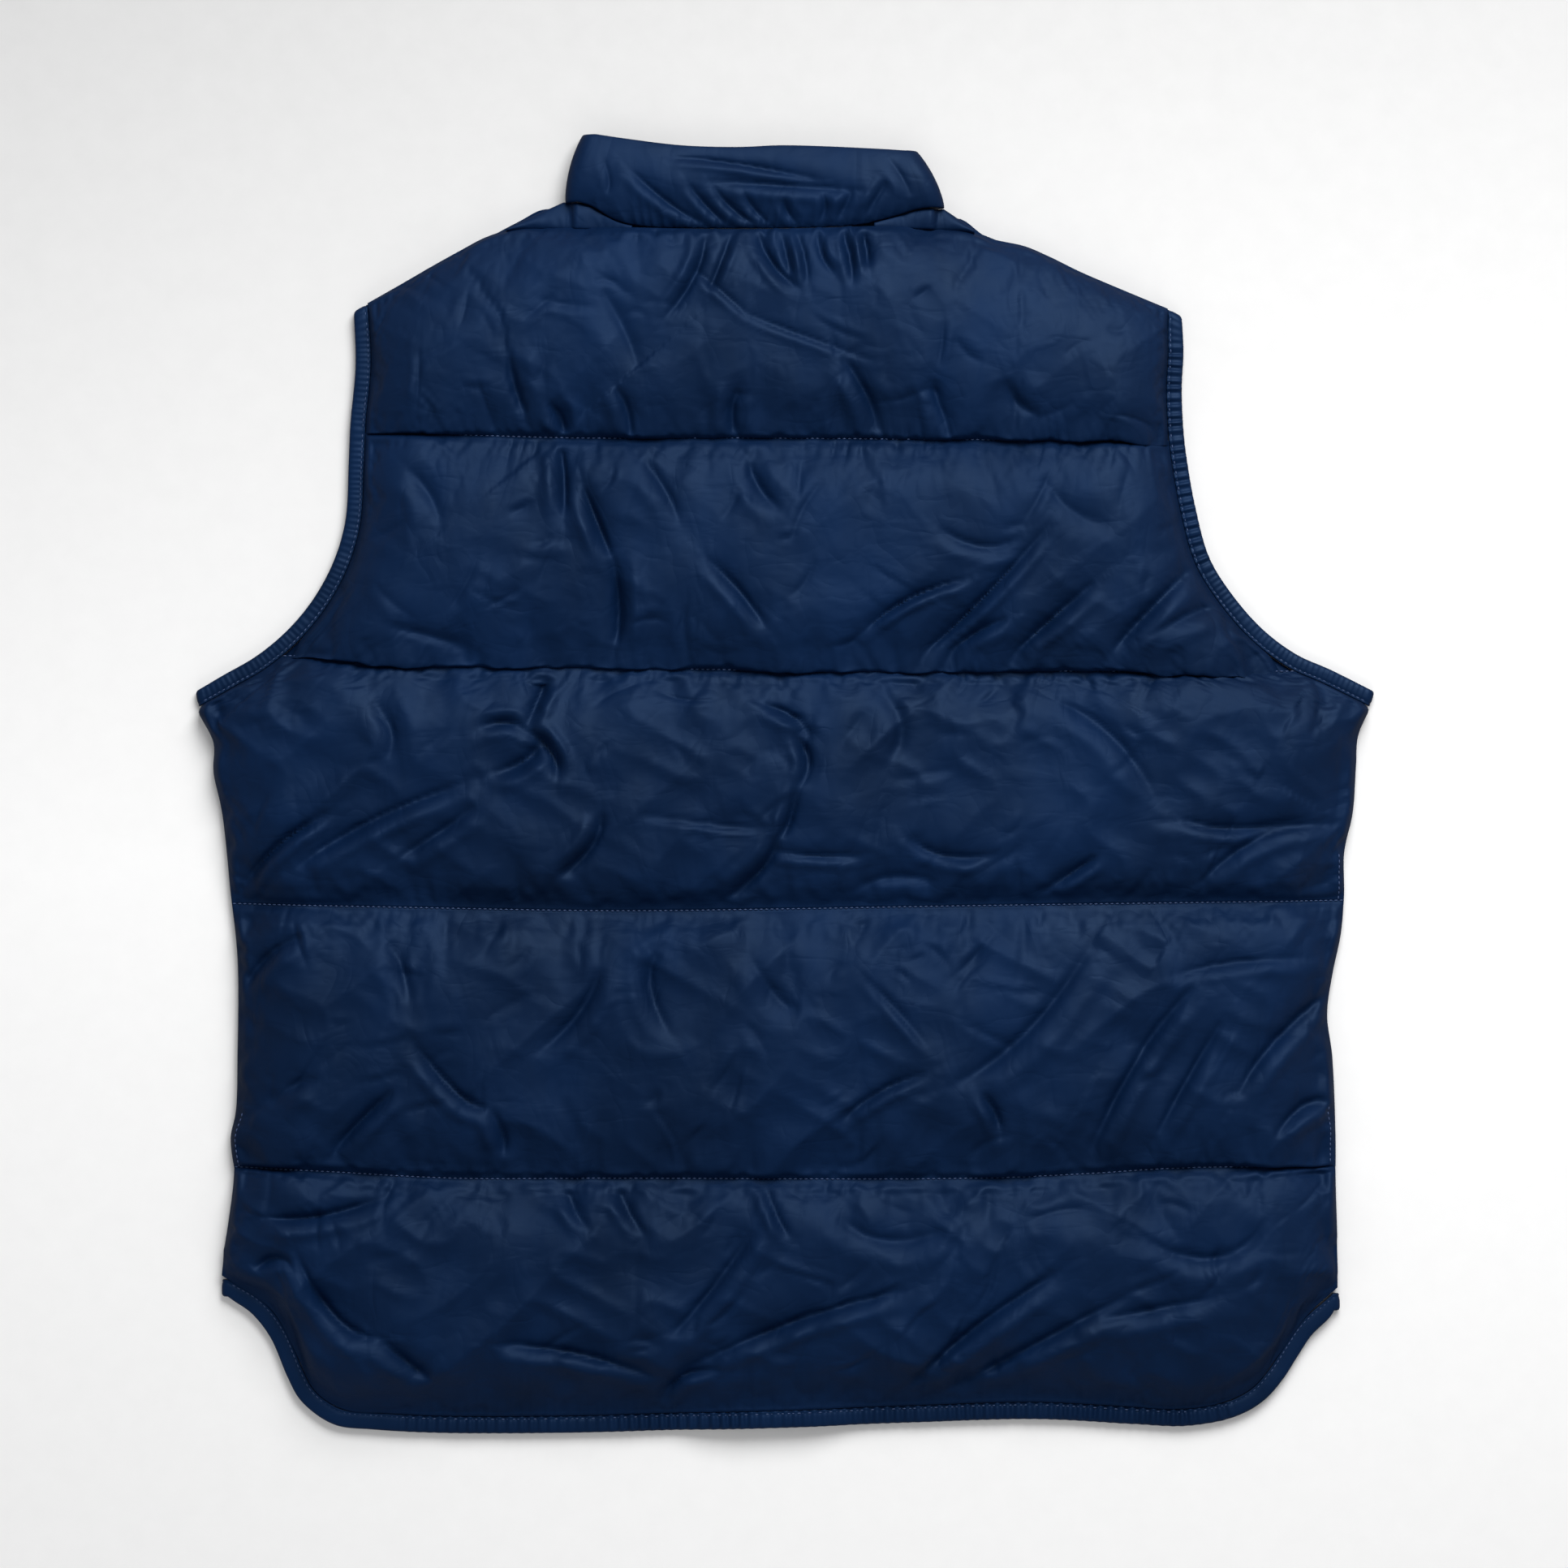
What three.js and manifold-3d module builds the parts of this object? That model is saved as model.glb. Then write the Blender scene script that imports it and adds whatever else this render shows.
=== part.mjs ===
// Quilted vest with a stand collar, laid face down so that its padded back is on top.
// X runs across the back, Y from the hem to the collar and Z up from the surface it lies on.
// All sizes are millimetres.
import * as THREE from 'three';
import { mergeVertices } from 'three/addons/utils/BufferGeometryUtils.js';
import ManifoldModule from 'manifold-3d';

const manifold = await ManifoldModule();
manifold.setup();

// Gaps between the pieces
const SEAM_GAP = 0.3;
const LAYER_GAP = 0.9;
const CLEAR_OF_OUTLINE = 0.4;

// Walls and padding
const EDGE_WALL = 3;
const FRONT_LOFT = 14;
const BACK_LOFT = 17;
const EDGE_ROLL = 45;
const SIDE_ROLL = 52;
const CHANNEL_ROUNDNESS = 3;
const CHANNEL_FULLNESS = 0.6;
const FOLD_END_SHARE = 0.35;

// Front opening, a lap held by press studs
const CENTRE_X = -8;
const LAP_HALF = 15;
const LAP_UNDER = 5;
const LAP_STACK = 8.6;
const LAP_BLEND = 45;
const LAP_SHOULDER = 2;
const HEM_LAP_STEP = { low: 2.4, high: 1 };
const COLLAR_LAP_WALL = 4;
const COLLAR_LAP_STEPS = { left: [-0.2, 0.2], right: [1.2, 0.6] };
const NECK_DROP_Y = 264;
const NECK_CURVE = 2.2;
const STUD_COUNT = 6;
const STUD_FIRST_Y = -348;
const STUD_LAST_Y = 240;
const STUD_CAP = { radius: 7.5, height: 1.6, post: 2.5 };
const STUD_SOCKET = { radius: 6, height: 2 };
const STUD_SIDES = 8;
const SEAT_PAST = 1;

// Bindings
const ARMHOLE_WIDTH = 9;
const HEM_WIDTH = 10;
const BINDING_WALL = 3;
const BINDING_ROUND = 1.6;
const BINDING_EDGE_SHARE = 0.8;
const BESIDE = 2;
const END_TURN = 22;
const FOLD_STEPS = 4;
const HEM_GATHERS = { from: -228, to: 268, count: 83, height: 0.9 };
const ARMHOLE_GATHERS = { from: 12, to: 156, count: 29, height: 0.7 };
const STEPS_PER_GATHER = 3;

// Collar
const COLLAR_INSIDE_Z = 12;
const COLLAR_EDGE = 3.5;
const COLLAR_LOFT = 5.5;
const COLLAR_FULLNESS = 0.7;
const COLLAR_END_FADE = 6;
const COLLAR_BACK_STEPS = 24;
const COLLAR_FRONT_STEPS = 7;
const COLLAR_ACROSS = 5;
const COLLAR_FRONT_HEIGHT = 48;

// Grid of the back panel
const BACK_COLUMNS = 52;
const ROWS_PER_CHANNEL = 8;
const EVERY = { columns: 1, rows: 1 };
const PLAIN_STRIDE = { columns: 4, rows: 2 };
const EDGE_CROWDING = 0.35;

// Turn of each front over the shoulder beside the neck: its outer end, the side neck point and
// its inner tip. Inward is the way to the neck along X.
const TURNS = {
  left: { outer: { x: -161, y: 326 }, near: { x: -129, y: 340 }, tip: { x: -91, y: 326 }, inward: 1 },
  right: { outer: { x: 110, y: 325.4 }, near: { x: 94, y: 336 }, tip: { x: 55, y: 327 }, inward: -1 },
};
const TURN_CLEAR = 8;
const TURN_OVER_COLLAR = 10;
const TURN_JOINT = { x: 9, y: 9, z: 2 };
const TURN_STEPS = 14;
const TURN_ENDS = 0.02;
const TURN_ROWS = [0, 0.25, 0.6, 1];
const TURN_PUFF = 3;

// Steps along the traced edges, and the reach of the blocks that cut the fronts
const RUN_STEPS = 160;
const OUTLINE_STEPS = 100;
const FINE_STEPS = { armhole: 240, hem: 900 };
const NECK_STEPS = 48;
const CUT_REACH = 1000;

const BACK_COLOUR = 0x15264a;
const FRONT_COLOUR = 0x142343;
const COLLAR_COLOUR = 0x1b2f57;
const BINDING_COLOUR = 0x101d3a;
const STUD_COLOUR = 0x2a3346;

// A table is a list of rows whose values are named by its columns.
const table = (columns, ...rows) =>
  rows.map((row) => Object.fromEntries(columns.map((name, k) => [name, row[k]])));

// Half outlines, from the shoulder down
const SHOULDER_LEFT = table(['x', 'y'],
  [-236, 286], [-215, 298], [-194, 310], [-164, 325], [-147, 334], [-128, 341]);
const SHOULDER_RIGHT = table(['x', 'y'],
  [93, 337], [109, 327], [118, 321], [144, 314], [169, 302], [192, 292], [216, 282]);
const ARMHOLE_LEFT = table(['x', 'y'],
  [-252, 277], [-251, 245], [-254, 211], [-255, 188], [-257, 154], [-264, 130], [-276, 108],
  [-291, 90], [-309, 75], [-328, 64], [-345, 54]);
const ARMHOLE_RIGHT = table(['x', 'y'],
  [233, 274], [234, 253], [233, 232], [234, 207], [236, 190], [241, 162], [249, 133], [261, 113],
  [280, 91], [300, 76], [320, 67], [346, 54]);
const SIDE_LEFT = table(['x', 'y'],
  [-342, 40], [-334, 24], [-334, 7], [-329, -17], [-324, -64], [-320, -102], [-320, -159],
  [-321, -192], [-324, -207], [-322, -226], [-325, -254], [-328, -273]);
const SIDE_RIGHT = table(['x', 'y'],
  [341, 40], [336, 28], [335, 12], [333, -17], [328, -40], [328, -64], [326, -88], [321, -112],
  [318, -135], [321, -159], [323, -207], [323, -229], [324, -264]);
const HEM = table(['x', 'y'],
  [-329, -298], [-322, -303], [-312, -310], [-301, -324], [-291, -347], [-284, -360], [-273, -370],
  [-261, -376], [-242, -378], [-205, -380], [-126, -380], [-55, -378], [16, -376], [75, -374],
  [148, -372], [206, -375], [235, -376], [263, -371], [280, -362], [292, -349], [301, -335],
  [309, -323], [320, -312], [324, -305]);

// Seams across the back, from the neck down to the last quilt line
const BACK_TOP = table(['x', 'y'],
  [-236, 286], [-215, 298], [-194, 310], [-164, 324], [-124, 326], [-92, 325], [-45, 324],
  [-7, 324], [31, 325], [65, 326], [80, 326], [112, 323], [118, 320], [144, 314], [169, 302],
  [192, 292], [216, 282]);
const QUILT_LINES = [
  table(['x', 'y'], [-245, 206], [-126, 202], [-31, 202], [110, 201], [225, 201]),
  table(['x', 'y'], [-284, 75], [-221, 70], [-98, 68], [16, 66], [135, 66], [301, 66]),
  table(['x', 'y'], [-321, -70], [-221, -72], [-98, -74], [-7, -73], [111, -71], [328, -68]),
  table(['x', 'y'], [-321, -224], [-269, -226], [-193, -230], [-98, -230], [111, -230],
    [183, -227], [230, -224], [323, -223]),
];

// Collar seam and top edge on the back
const COLLAR_SEAM = table(['x', 'y'],
  [-120, 340], [-113, 338], [-97, 329], [-80, 325.6], [-45, 324.6], [-7, 324.6], [31, 325.6],
  [46, 327], [65, 332], [78, 336], [86, 337]);
const COLLAR_TOP = table(['x', 'y'],
  [-110, 379.5], [-93, 377], [-60, 373], [-27, 372], [0, 373], [54, 371], [70, 370]);

// Main folds of the back and collar: a soft trough from one end to the other.
const FOLDS = table(['x0', 'y0', 'x1', 'y1', 'width', 'depth'],
  [-47, 318, -69, 270, 7, 5], [-14, 320, 9, 288, 6, 4], [8, 316, 14, 296, 5, 3],
  [46, 318, 50, 300, 5, 3], [-24, 276, 52, 250, 6, 3], [31, 248, 54, 208, 8, 4],
  [-158, 250, -150, 212, 8, 4], [-128, 196, -130, 156, 8, 4], [-116, 174, -98, 80, 9, 6],
  [-44, 130, -10, 90, 8, 4], [48, 92, 106, 118, 8, 5], [78, 76, 154, 150, 10, 6],
  [130, 78, 182, 120, 9, 5], [190, 76, 240, 126, 9, 5], [-314, -60, -262, -16, 8, 5],
  [-284, -50, -150, 20, 10, 5], [-150, 32, -108, -54, 10, 6], [4, 30, 8, -2, 8, 4],
  [0, -4, -34, -66, 10, 6], [160, 48, 214, -6, 9, 4], [70, -34, 124, -40, 9, 3],
  [230, -24, 300, -24, 9, 4], [-264, -212, -226, -176, 9, 5], [-216, -148, -166, -216, 9, 5],
  [-144, -156, -106, -108, 9, 5], [-72, -98, -66, -144, 8, 4], [98, -174, 176, -98, 12, 6],
  [34, -192, 84, -166, 8, 4], [178, -212, 238, -118, 10, 6], [262, -184, 320, -124, 9, 5],
  [-282, -270, -236, -322, 10, 6], [-64, -320, -18, -262, 10, 5], [-54, -340, 72, -294, 10, 5],
  [70, -354, 156, -284, 11, 7], [-168, -326, -74, -346, 9, 4], [182, -308, 252, -296, 10, 5]);
const COLLAR_FOLDS = table(['x0', 'y0', 'x1', 'y1', 'width', 'depth'],
  [-65, 364, 20, 352, 5, 3], [-44, 350, 50, 345, 6, 3.5], [-90, 356, -48, 328, 5, 3],
  [-52, 348, -34, 328, 4, 2.5], [-30, 346, -12, 330, 4, 2.5]);

const lerp = THREE.MathUtils.lerp;
const clamp = THREE.MathUtils.clamp;
const smooth = (value) => THREE.MathUtils.smoothstep(value, 0, 1);
const flat = ({ x, y }) => new THREE.Vector2(x, y);

// Smooth run of points through the rows of a table, at even steps along its length.
function trace(rows, steps = RUN_STEPS) {
  const knots = rows.map(({ x, y }) => new THREE.Vector3(x, y, 0));
  const curve = new THREE.CatmullRomCurve3(knots, false, 'centripetal');
  return curve.getSpacedPoints(steps).map(flat);
}

function runLengths(points) {
  const lengths = [0];
  for (let k = 1; k < points.length; k++) {
    lengths.push(lengths[k - 1] + points[k].distanceTo(points[k - 1]));
  }
  return lengths;
}

// Point of a run at a fraction of its length.
function along(points, fraction) {
  const lengths = runLengths(points);
  const target = fraction * lengths.at(-1);
  let k = 1;
  while (k < points.length - 1 && lengths[k] < target) k++;
  const part = (target - lengths[k - 1]) / (lengths[k] - lengths[k - 1]);
  return points[k - 1].clone().lerp(points[k], clamp(part, 0, 1));
}

// Value of one axis of a run where the other axis has the given value.
function crossing(points, axis, value) {
  const other = axis === 'x' ? 'y' : 'x';
  for (let k = 1; k < points.length; k++) {
    const a = points[k - 1];
    const b = points[k];
    if ((a[axis] - value) * (b[axis] - value) <= 0 && a[axis] !== b[axis]) {
      return lerp(a[other], b[other], (value - a[axis]) / (b[axis] - a[axis]));
    }
  }
  const ends = [points[0], points.at(-1)];
  ends.sort((a, b) => Math.abs(a[axis] - value) - Math.abs(b[axis] - value));
  return ends[0][other];
}

// Part of a run between two heights, ends included.
function between(points, topY, bottomY) {
  const inside = points.filter(({ y }) => y < topY && y > bottomY);
  const start = new THREE.Vector2(crossing(points, 'y', topY), topY);
  const end = new THREE.Vector2(crossing(points, 'y', bottomY), bottomY);
  return [start, ...inside, end];
}

function distanceToRun(point, run) {
  let best = Infinity;
  for (let k = 1; k < run.length; k++) {
    const step = run[k].clone().sub(run[k - 1]);
    const offset = point.clone().sub(run[k - 1]);
    const part = clamp(offset.dot(step) / step.lengthSq(), 0, 1);
    best = Math.min(best, offset.addScaledVector(step, -part).length());
  }
  return best;
}

// Edge of a piece and the line one width inside it. The direction across turns from that of
// the piece's first cut to the edge's own normal, and to that of its last cut.
function strip(rows, width, inward, firstCut, lastCut, steps) {
  const edge = trace(rows, steps);
  const lengths = runLengths(edge);
  const total = lengths.at(-1);
  return edge.map((point, k) => {
    const ahead = edge[Math.min(k + 1, edge.length - 1)];
    const behind = edge[Math.max(k - 1, 0)];
    const tangent = ahead.clone().sub(behind).normalize();
    const across = new THREE.Vector2(-tangent.y, tangent.x).multiplyScalar(inward);
    const nearFirst = 1 - smooth(lengths[k] / END_TURN);
    const nearLast = 1 - smooth((total - lengths[k]) / END_TURN);
    across.lerp(firstCut, nearFirst).lerp(lastCut, nearLast).normalize();
    return { edge: point, across, width, at: lengths[k] };
  });
}

const shoulderCutLeft = new THREE.Vector2(16, 9).normalize();
const shoulderCutRight = new THREE.Vector2(-17, 9).normalize();
const sideCutLeft = new THREE.Vector2(3, -14).normalize();
const sideCutRight = new THREE.Vector2(-5, -14).normalize();
const sideCutHem = new THREE.Vector2(0, 1);

const innerLine = (...sizes) =>
  strip(...sizes, RUN_STEPS).map(({ edge, across, width }) => edge.clone().addScaledVector(across, width));
const armholeInset = ARMHOLE_WIDTH + SEAM_GAP;
const armholeLeftInner = innerLine(ARMHOLE_LEFT, armholeInset, 1, shoulderCutLeft, sideCutLeft);
const armholeRightInner = innerLine(ARMHOLE_RIGHT, armholeInset, -1, shoulderCutRight, sideCutRight);
const hemInner = innerLine(HEM, HEM_WIDTH + SEAM_GAP, 1, sideCutHem, sideCutHem);

// The panel's own side edges: along the armhole binding, then down the side seam to the hem.
function sideEdge(armholeInner, side, hemEnd) {
  const below = side.filter(({ y }) => y < armholeInner.at(-1).y - BESIDE && y > hemEnd.y + BESIDE);
  return [...armholeInner, ...trace(below), hemEnd];
}
const edgeLeft = sideEdge(armholeLeftInner, SIDE_LEFT, hemInner[0]);
const edgeRight = sideEdge(armholeRightInner, SIDE_RIGHT, hemInner.at(-1));

// Distance to the garment's outline, which sets how the layers thin out.
const outline = [
  [SHOULDER_RIGHT.at(-1), ...ARMHOLE_RIGHT, ...SIDE_RIGHT],
  [SHOULDER_LEFT[0], ...ARMHOLE_LEFT, ...SIDE_LEFT],
  SHOULDER_LEFT, SHOULDER_RIGHT, HEM,
].map((rows) => trace(rows, OUTLINE_STEPS));
const fromOutline = (point) => Math.min(...outline.map((run) => distanceToRun(point, run)));
const fromSides = (point) =>
  Math.min(...[edgeLeft, edgeRight].map((run) => distanceToRun(point, run)));

// Height where the fronts' inner faces meet the back's. It rises over the lap of the opening.
const edgeHeight = (x) => {
  const blend = smooth((Math.abs(x - CENTRE_X) - LAP_HALF - LAP_SHOULDER) / LAP_BLEND);
  return lerp(LAP_STACK, EDGE_WALL, blend);
};
const layerHeight = (point) =>
  lerp(edgeHeight(point.x), FRONT_LOFT, smooth(fromOutline(point) / EDGE_ROLL));

// Front neckline, from each side neck point down to the centre front.
function necklineY(x) {
  const sidePoint = x < CENTRE_X ? SHOULDER_LEFT.at(-1) : SHOULDER_RIGHT[0];
  const reach = Math.min(Math.abs((x - CENTRE_X) / (sidePoint.x - CENTRE_X)), 1);
  return lerp(NECK_DROP_Y, sidePoint.y, reach ** NECK_CURVE);
}

// Depth of a table of folds at a point.
function foldDepth(folds, point) {
  let depth = 0;
  for (const fold of folds) {
    const start = new THREE.Vector2(fold.x0, fold.y0);
    const run = new THREE.Vector2(fold.x1, fold.y1).sub(start);
    const offset = point.clone().sub(start);
    const part = clamp(offset.dot(run) / run.lengthSq(), 0, 1);
    const away = offset.addScaledVector(run, -part).length() / fold.width;
    const taper = lerp(FOLD_END_SHARE, 1, Math.sin(Math.PI * part));
    depth += fold.depth * taper * Math.exp(-away * away);
  }
  return depth;
}

// Triangles between two runs of indices that start and end side by side.
function zip(outer, inner) {
  const faces = [];
  let a = 0;
  let b = 0;
  while (a < outer.length - 1 || b < inner.length - 1) {
    const nextOuter = (a + 1) / (outer.length - 1);
    const nextInner = (b + 1) / (inner.length - 1);
    const stepOuter = b === inner.length - 1 || (a < outer.length - 1 && nextOuter <= nextInner);
    faces.push(stepOuter ? [outer[a], inner[b], outer[a + 1]] : [outer[a], inner[b], inner[b + 1]]);
    if (stepOuter) a++;
    else b++;
  }
  return faces;
}

function bodyGeometry(points, faces) {
  const geometry = new THREE.BufferGeometry();
  geometry.setAttribute('position', new THREE.Float32BufferAttribute(points.flatMap((p) => p.toArray()), 3));
  geometry.setIndex(faces.flat());
  return geometry;
}

// Closed wall over a plan grid whose columns run to +X and whose rows run to +Y. Away from the
// edge a plain face skips columns and rows by its stride.
function wallOverPlan(plan, topZ, bottomZ, topStride = EVERY, bottomStride = EVERY) {
  const rows = plan.length - 1;
  const columns = plan[0].length - 1;
  const points = [];
  const vertices = (heightAt) => {
    const ids = new Map();
    return ([i, j]) => {
      const key = j * (columns + 1) + i;
      if (!ids.has(key)) {
        const { x, y } = plan[j][i];
        ids.set(key, points.push(new THREE.Vector3(x, y, heightAt(plan[j][i], i, j))) - 1);
      }
      return ids.get(key);
    };
  };
  const span = (from, to, step) => {
    const values = [];
    for (let k = from; step > 0 ? k <= to : k >= to; k += step) values.push(k);
    return values;
  };
  const ringOf = (inset, step) => [
    span(inset.columns, columns - inset.columns, step.columns).map((i) => [i, inset.rows]),
    span(inset.rows, rows - inset.rows, step.rows).map((j) => [columns - inset.columns, j]),
    span(columns - inset.columns, inset.columns, -step.columns).map((i) => [i, rows - inset.rows]),
    span(rows - inset.rows, inset.rows, -step.rows).map((j) => [inset.columns, j]),
  ];
  const rim = ringOf({ columns: 0, rows: 0 }, EVERY);
  const faceDown = (id, stride) => {
    const inner = ringOf(stride, stride);
    const faces = rim.flatMap((side, k) => zip(side.map(id), inner[k].map(id)));
    for (let j = stride.rows; j < rows - stride.rows; j += stride.rows) {
      for (let i = stride.columns; i < columns - stride.columns; i += stride.columns) {
        const [a, b] = [id([i, j]), id([i + stride.columns, j])];
        const [c, d] = [id([i + stride.columns, j + stride.rows]), id([i, j + stride.rows])];
        faces.push([a, c, b], [a, d, c]);
      }
    }
    return faces;
  };
  const top = vertices(topZ);
  const bottom = vertices(bottomZ);
  const faces = faceDown(top, topStride).map(([a, b, c]) => [a, c, b]);
  faces.push(...faceDown(bottom, bottomStride));
  for (const side of rim) {
    for (let n = 1; n < side.length; n++) {
      const [low0, low1] = [bottom(side[n - 1]), bottom(side[n])];
      const [high0, high1] = [top(side[n - 1]), top(side[n])];
      faces.push([low0, low1, high1], [low0, high1, high0]);
    }
  }
  return bodyGeometry(points, faces);
}

// Closed band through stations. Each station has points over its outer face and its inner face.
function bandThrough(stations, closed) {
  const points = [];
  const rings = stations.map(({ outer, inner }) => {
    const outerIds = outer.map((point) => points.push(point) - 1);
    const innerIds = inner.map((point) => points.push(point) - 1);
    return { outerIds, innerIds, loop: [...outerIds, ...innerIds.slice().reverse()] };
  });
  const faces = [];
  const last = closed ? rings.length : rings.length - 1;
  for (let k = 0; k < last; k++) {
    const here = rings[k].loop;
    const next = rings[(k + 1) % rings.length].loop;
    here.forEach((id, n) => {
      const m = (n + 1) % here.length;
      faces.push([id, here[m], next[m]], [id, next[m], next[n]]);
    });
  }
  if (!closed) {
    faces.push(...zip(rings[0].outerIds, rings[0].innerIds));
    faces.push(...zip(rings.at(-1).outerIds, rings.at(-1).innerIds).map(([a, b, c]) => [a, c, b]));
  }
  return bodyGeometry(points, faces);
}

// Signed volume, so that a band built from either end faces outwards.
function facingOut(geometry) {
  const position = geometry.getAttribute('position');
  const index = geometry.getIndex();
  const corner = (k) => new THREE.Vector3().fromBufferAttribute(position, index.getX(k));
  let volume = 0;
  for (let k = 0; k < index.count; k += 3) volume += corner(k).dot(corner(k + 1).cross(corner(k + 2)));
  if (volume < 0) geometry.setIndex(Array.from(index.array).reverse());
  return geometry;
}

function toManifold(geometry) {
  const bare = geometry.clone();
  bare.deleteAttribute('normal');
  bare.deleteAttribute('uv');
  const merged = mergeVertices(bare, 1e-4);
  return new manifold.Manifold(new manifold.Mesh({
    numProp: 3,
    vertProperties: new Float32Array(merged.getAttribute('position').array),
    triVerts: new Uint32Array(merged.getIndex().array),
  }));
}

function fromManifold(solid) {
  const mesh = solid.getMesh();
  const geometry = new THREE.BufferGeometry();
  geometry.setAttribute('position', new THREE.BufferAttribute(new Float32Array(mesh.vertProperties), 3));
  geometry.setIndex(Array.from(mesh.triVerts));
  return geometry;
}

// Patch between four runs: bottom and top go to +X, left and right go to +Y.
function patch(bottomAt, topAt, leftAt, rightAt, us, vs) {
  const corners = [bottomAt(0), bottomAt(1), topAt(0), topAt(1)];
  return vs.map((v) => us.map((u) => {
    const point = bottomAt(u).multiplyScalar(1 - v).addScaledVector(topAt(u), v);
    point.addScaledVector(leftAt(v), 1 - u).addScaledVector(rightAt(v), u);
    point.addScaledVector(corners[0], -(1 - u) * (1 - v)).addScaledVector(corners[1], -u * (1 - v));
    return point.addScaledVector(corners[2], -(1 - u) * v).addScaledVector(corners[3], -u * v);
  }));
}

const evenly = (count) => Array.from({ length: count + 1 }, (_, k) => k / count);
const closeAtEnds = (count) => evenly(count).map((part) => (1 - Math.cos(Math.PI * part)) / 2);

// Run across the body at even steps of X, with its ends on the side edges.
function acrossRun(rows, start, end) {
  const inner = rows.filter(({ x }) => x > start.x + BESIDE && x < end.x - BESIDE);
  const run = trace([start, ...inner, end]);
  return (u) => {
    const x = lerp(start.x, end.x, u);
    return new THREE.Vector2(x, crossing(run, 'x', x));
  };
}

// Plan of the body, five channels of rows between the hem, four quilt lines and the neck.
// Each row knows how far up its channel it lies.
function bodyPlan() {
  const onEdge = (edge, row) => new THREE.Vector2(crossing(edge, 'y', row.y), row.y);
  const [hemLeft, hemRight] = [edgeLeft.at(-1), edgeRight.at(-1)];
  const [neckLeft, neckRight] = [edgeLeft[0], edgeRight[0]];
  const seams = [
    { at: acrossRun(hemInner, hemLeft, hemRight), leftY: hemLeft.y, rightY: hemRight.y },
    ...QUILT_LINES.slice().reverse().map((rows) => ({
      at: acrossRun(rows, onEdge(edgeLeft, rows[0]), onEdge(edgeRight, rows.at(-1))),
      leftY: rows[0].y,
      rightY: rows.at(-1).y,
    })),
    { at: acrossRun(BACK_TOP, neckLeft, neckRight), leftY: neckLeft.y, rightY: neckRight.y },
  ];
  const columns = evenly(BACK_COLUMNS).map((u) => lerp(u, (1 - Math.cos(Math.PI * u)) / 2, EDGE_CROWDING));
  const rowParts = closeAtEnds(ROWS_PER_CHANNEL);
  const rows = [];
  for (let k = 1; k < seams.length; k++) {
    const [low, high] = [seams[k - 1], seams[k]];
    const left = between(edgeLeft, high.leftY, low.leftY).reverse();
    const right = between(edgeRight, high.rightY, low.rightY).reverse();
    const grid = patch(low.at, high.at, (v) => along(left, v), (v) => along(right, v), columns, rowParts);
    const first = k === 1 ? 0 : 1;
    grid.forEach((points, j) => { if (j >= first) rows.push({ points, up: rowParts[j] }); });
  }
  return rows;
}
const bodyRows = bodyPlan();
const plan = bodyRows.map(({ points }) => points);

// Back panel: each channel swells between its seams, and the main folds are pressed into it.
function backPanel() {
  const puff = (up) => (1 - Math.abs(2 * up - 1) ** CHANNEL_ROUNDNESS) ** CHANNEL_FULLNESS;
  const sideRise = (point) => {
    const part = Math.min(fromSides(point) / SIDE_ROLL, 1);
    return Math.sqrt(1 - (1 - part) ** 2);
  };
  const inside = (point, i, j) => {
    const onEdge = i === 0 || j === 0 || i === BACK_COLUMNS || j === plan.length - 1;
    return layerHeight(point) + (onEdge ? SEAM_GAP : LAYER_GAP);
  };
  const outside = (point, i, j) => {
    const rise = puff(bodyRows[j].up) * sideRise(point);
    return inside(point, i, j) + EDGE_WALL + Math.max(BACK_LOFT - foldDepth(FOLDS, point), 0) * rise;
  };
  return wallOverPlan(plan, outside, inside, EVERY, PLAIN_STRIDE);
}

// Both fronts in one, flat underneath. The lap and the neckline are cut from it later.
const frontBody = () => wallOverPlan(plan, layerHeight, () => 0, PLAIN_STRIDE, PLAIN_STRIDE);

// Everything above the front neckline
function neckCutter() {
  const neckline = evenly(NECK_STEPS).map((part) => {
    const x = lerp(SHOULDER_LEFT.at(-1).x, SHOULDER_RIGHT[0].x, part);
    return new THREE.Vector2(x, necklineY(x));
  });
  const shape = new THREE.Shape([...neckline, new THREE.Vector2(neckline.at(-1).x, CUT_REACH),
    new THREE.Vector2(neckline[0].x, CUT_REACH)]);
  const cutter = new THREE.ExtrudeGeometry(shape, { depth: 2 * CUT_REACH, bevelEnabled: false });
  return cutter.translate(0, 0, -CUT_REACH);
}

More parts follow.
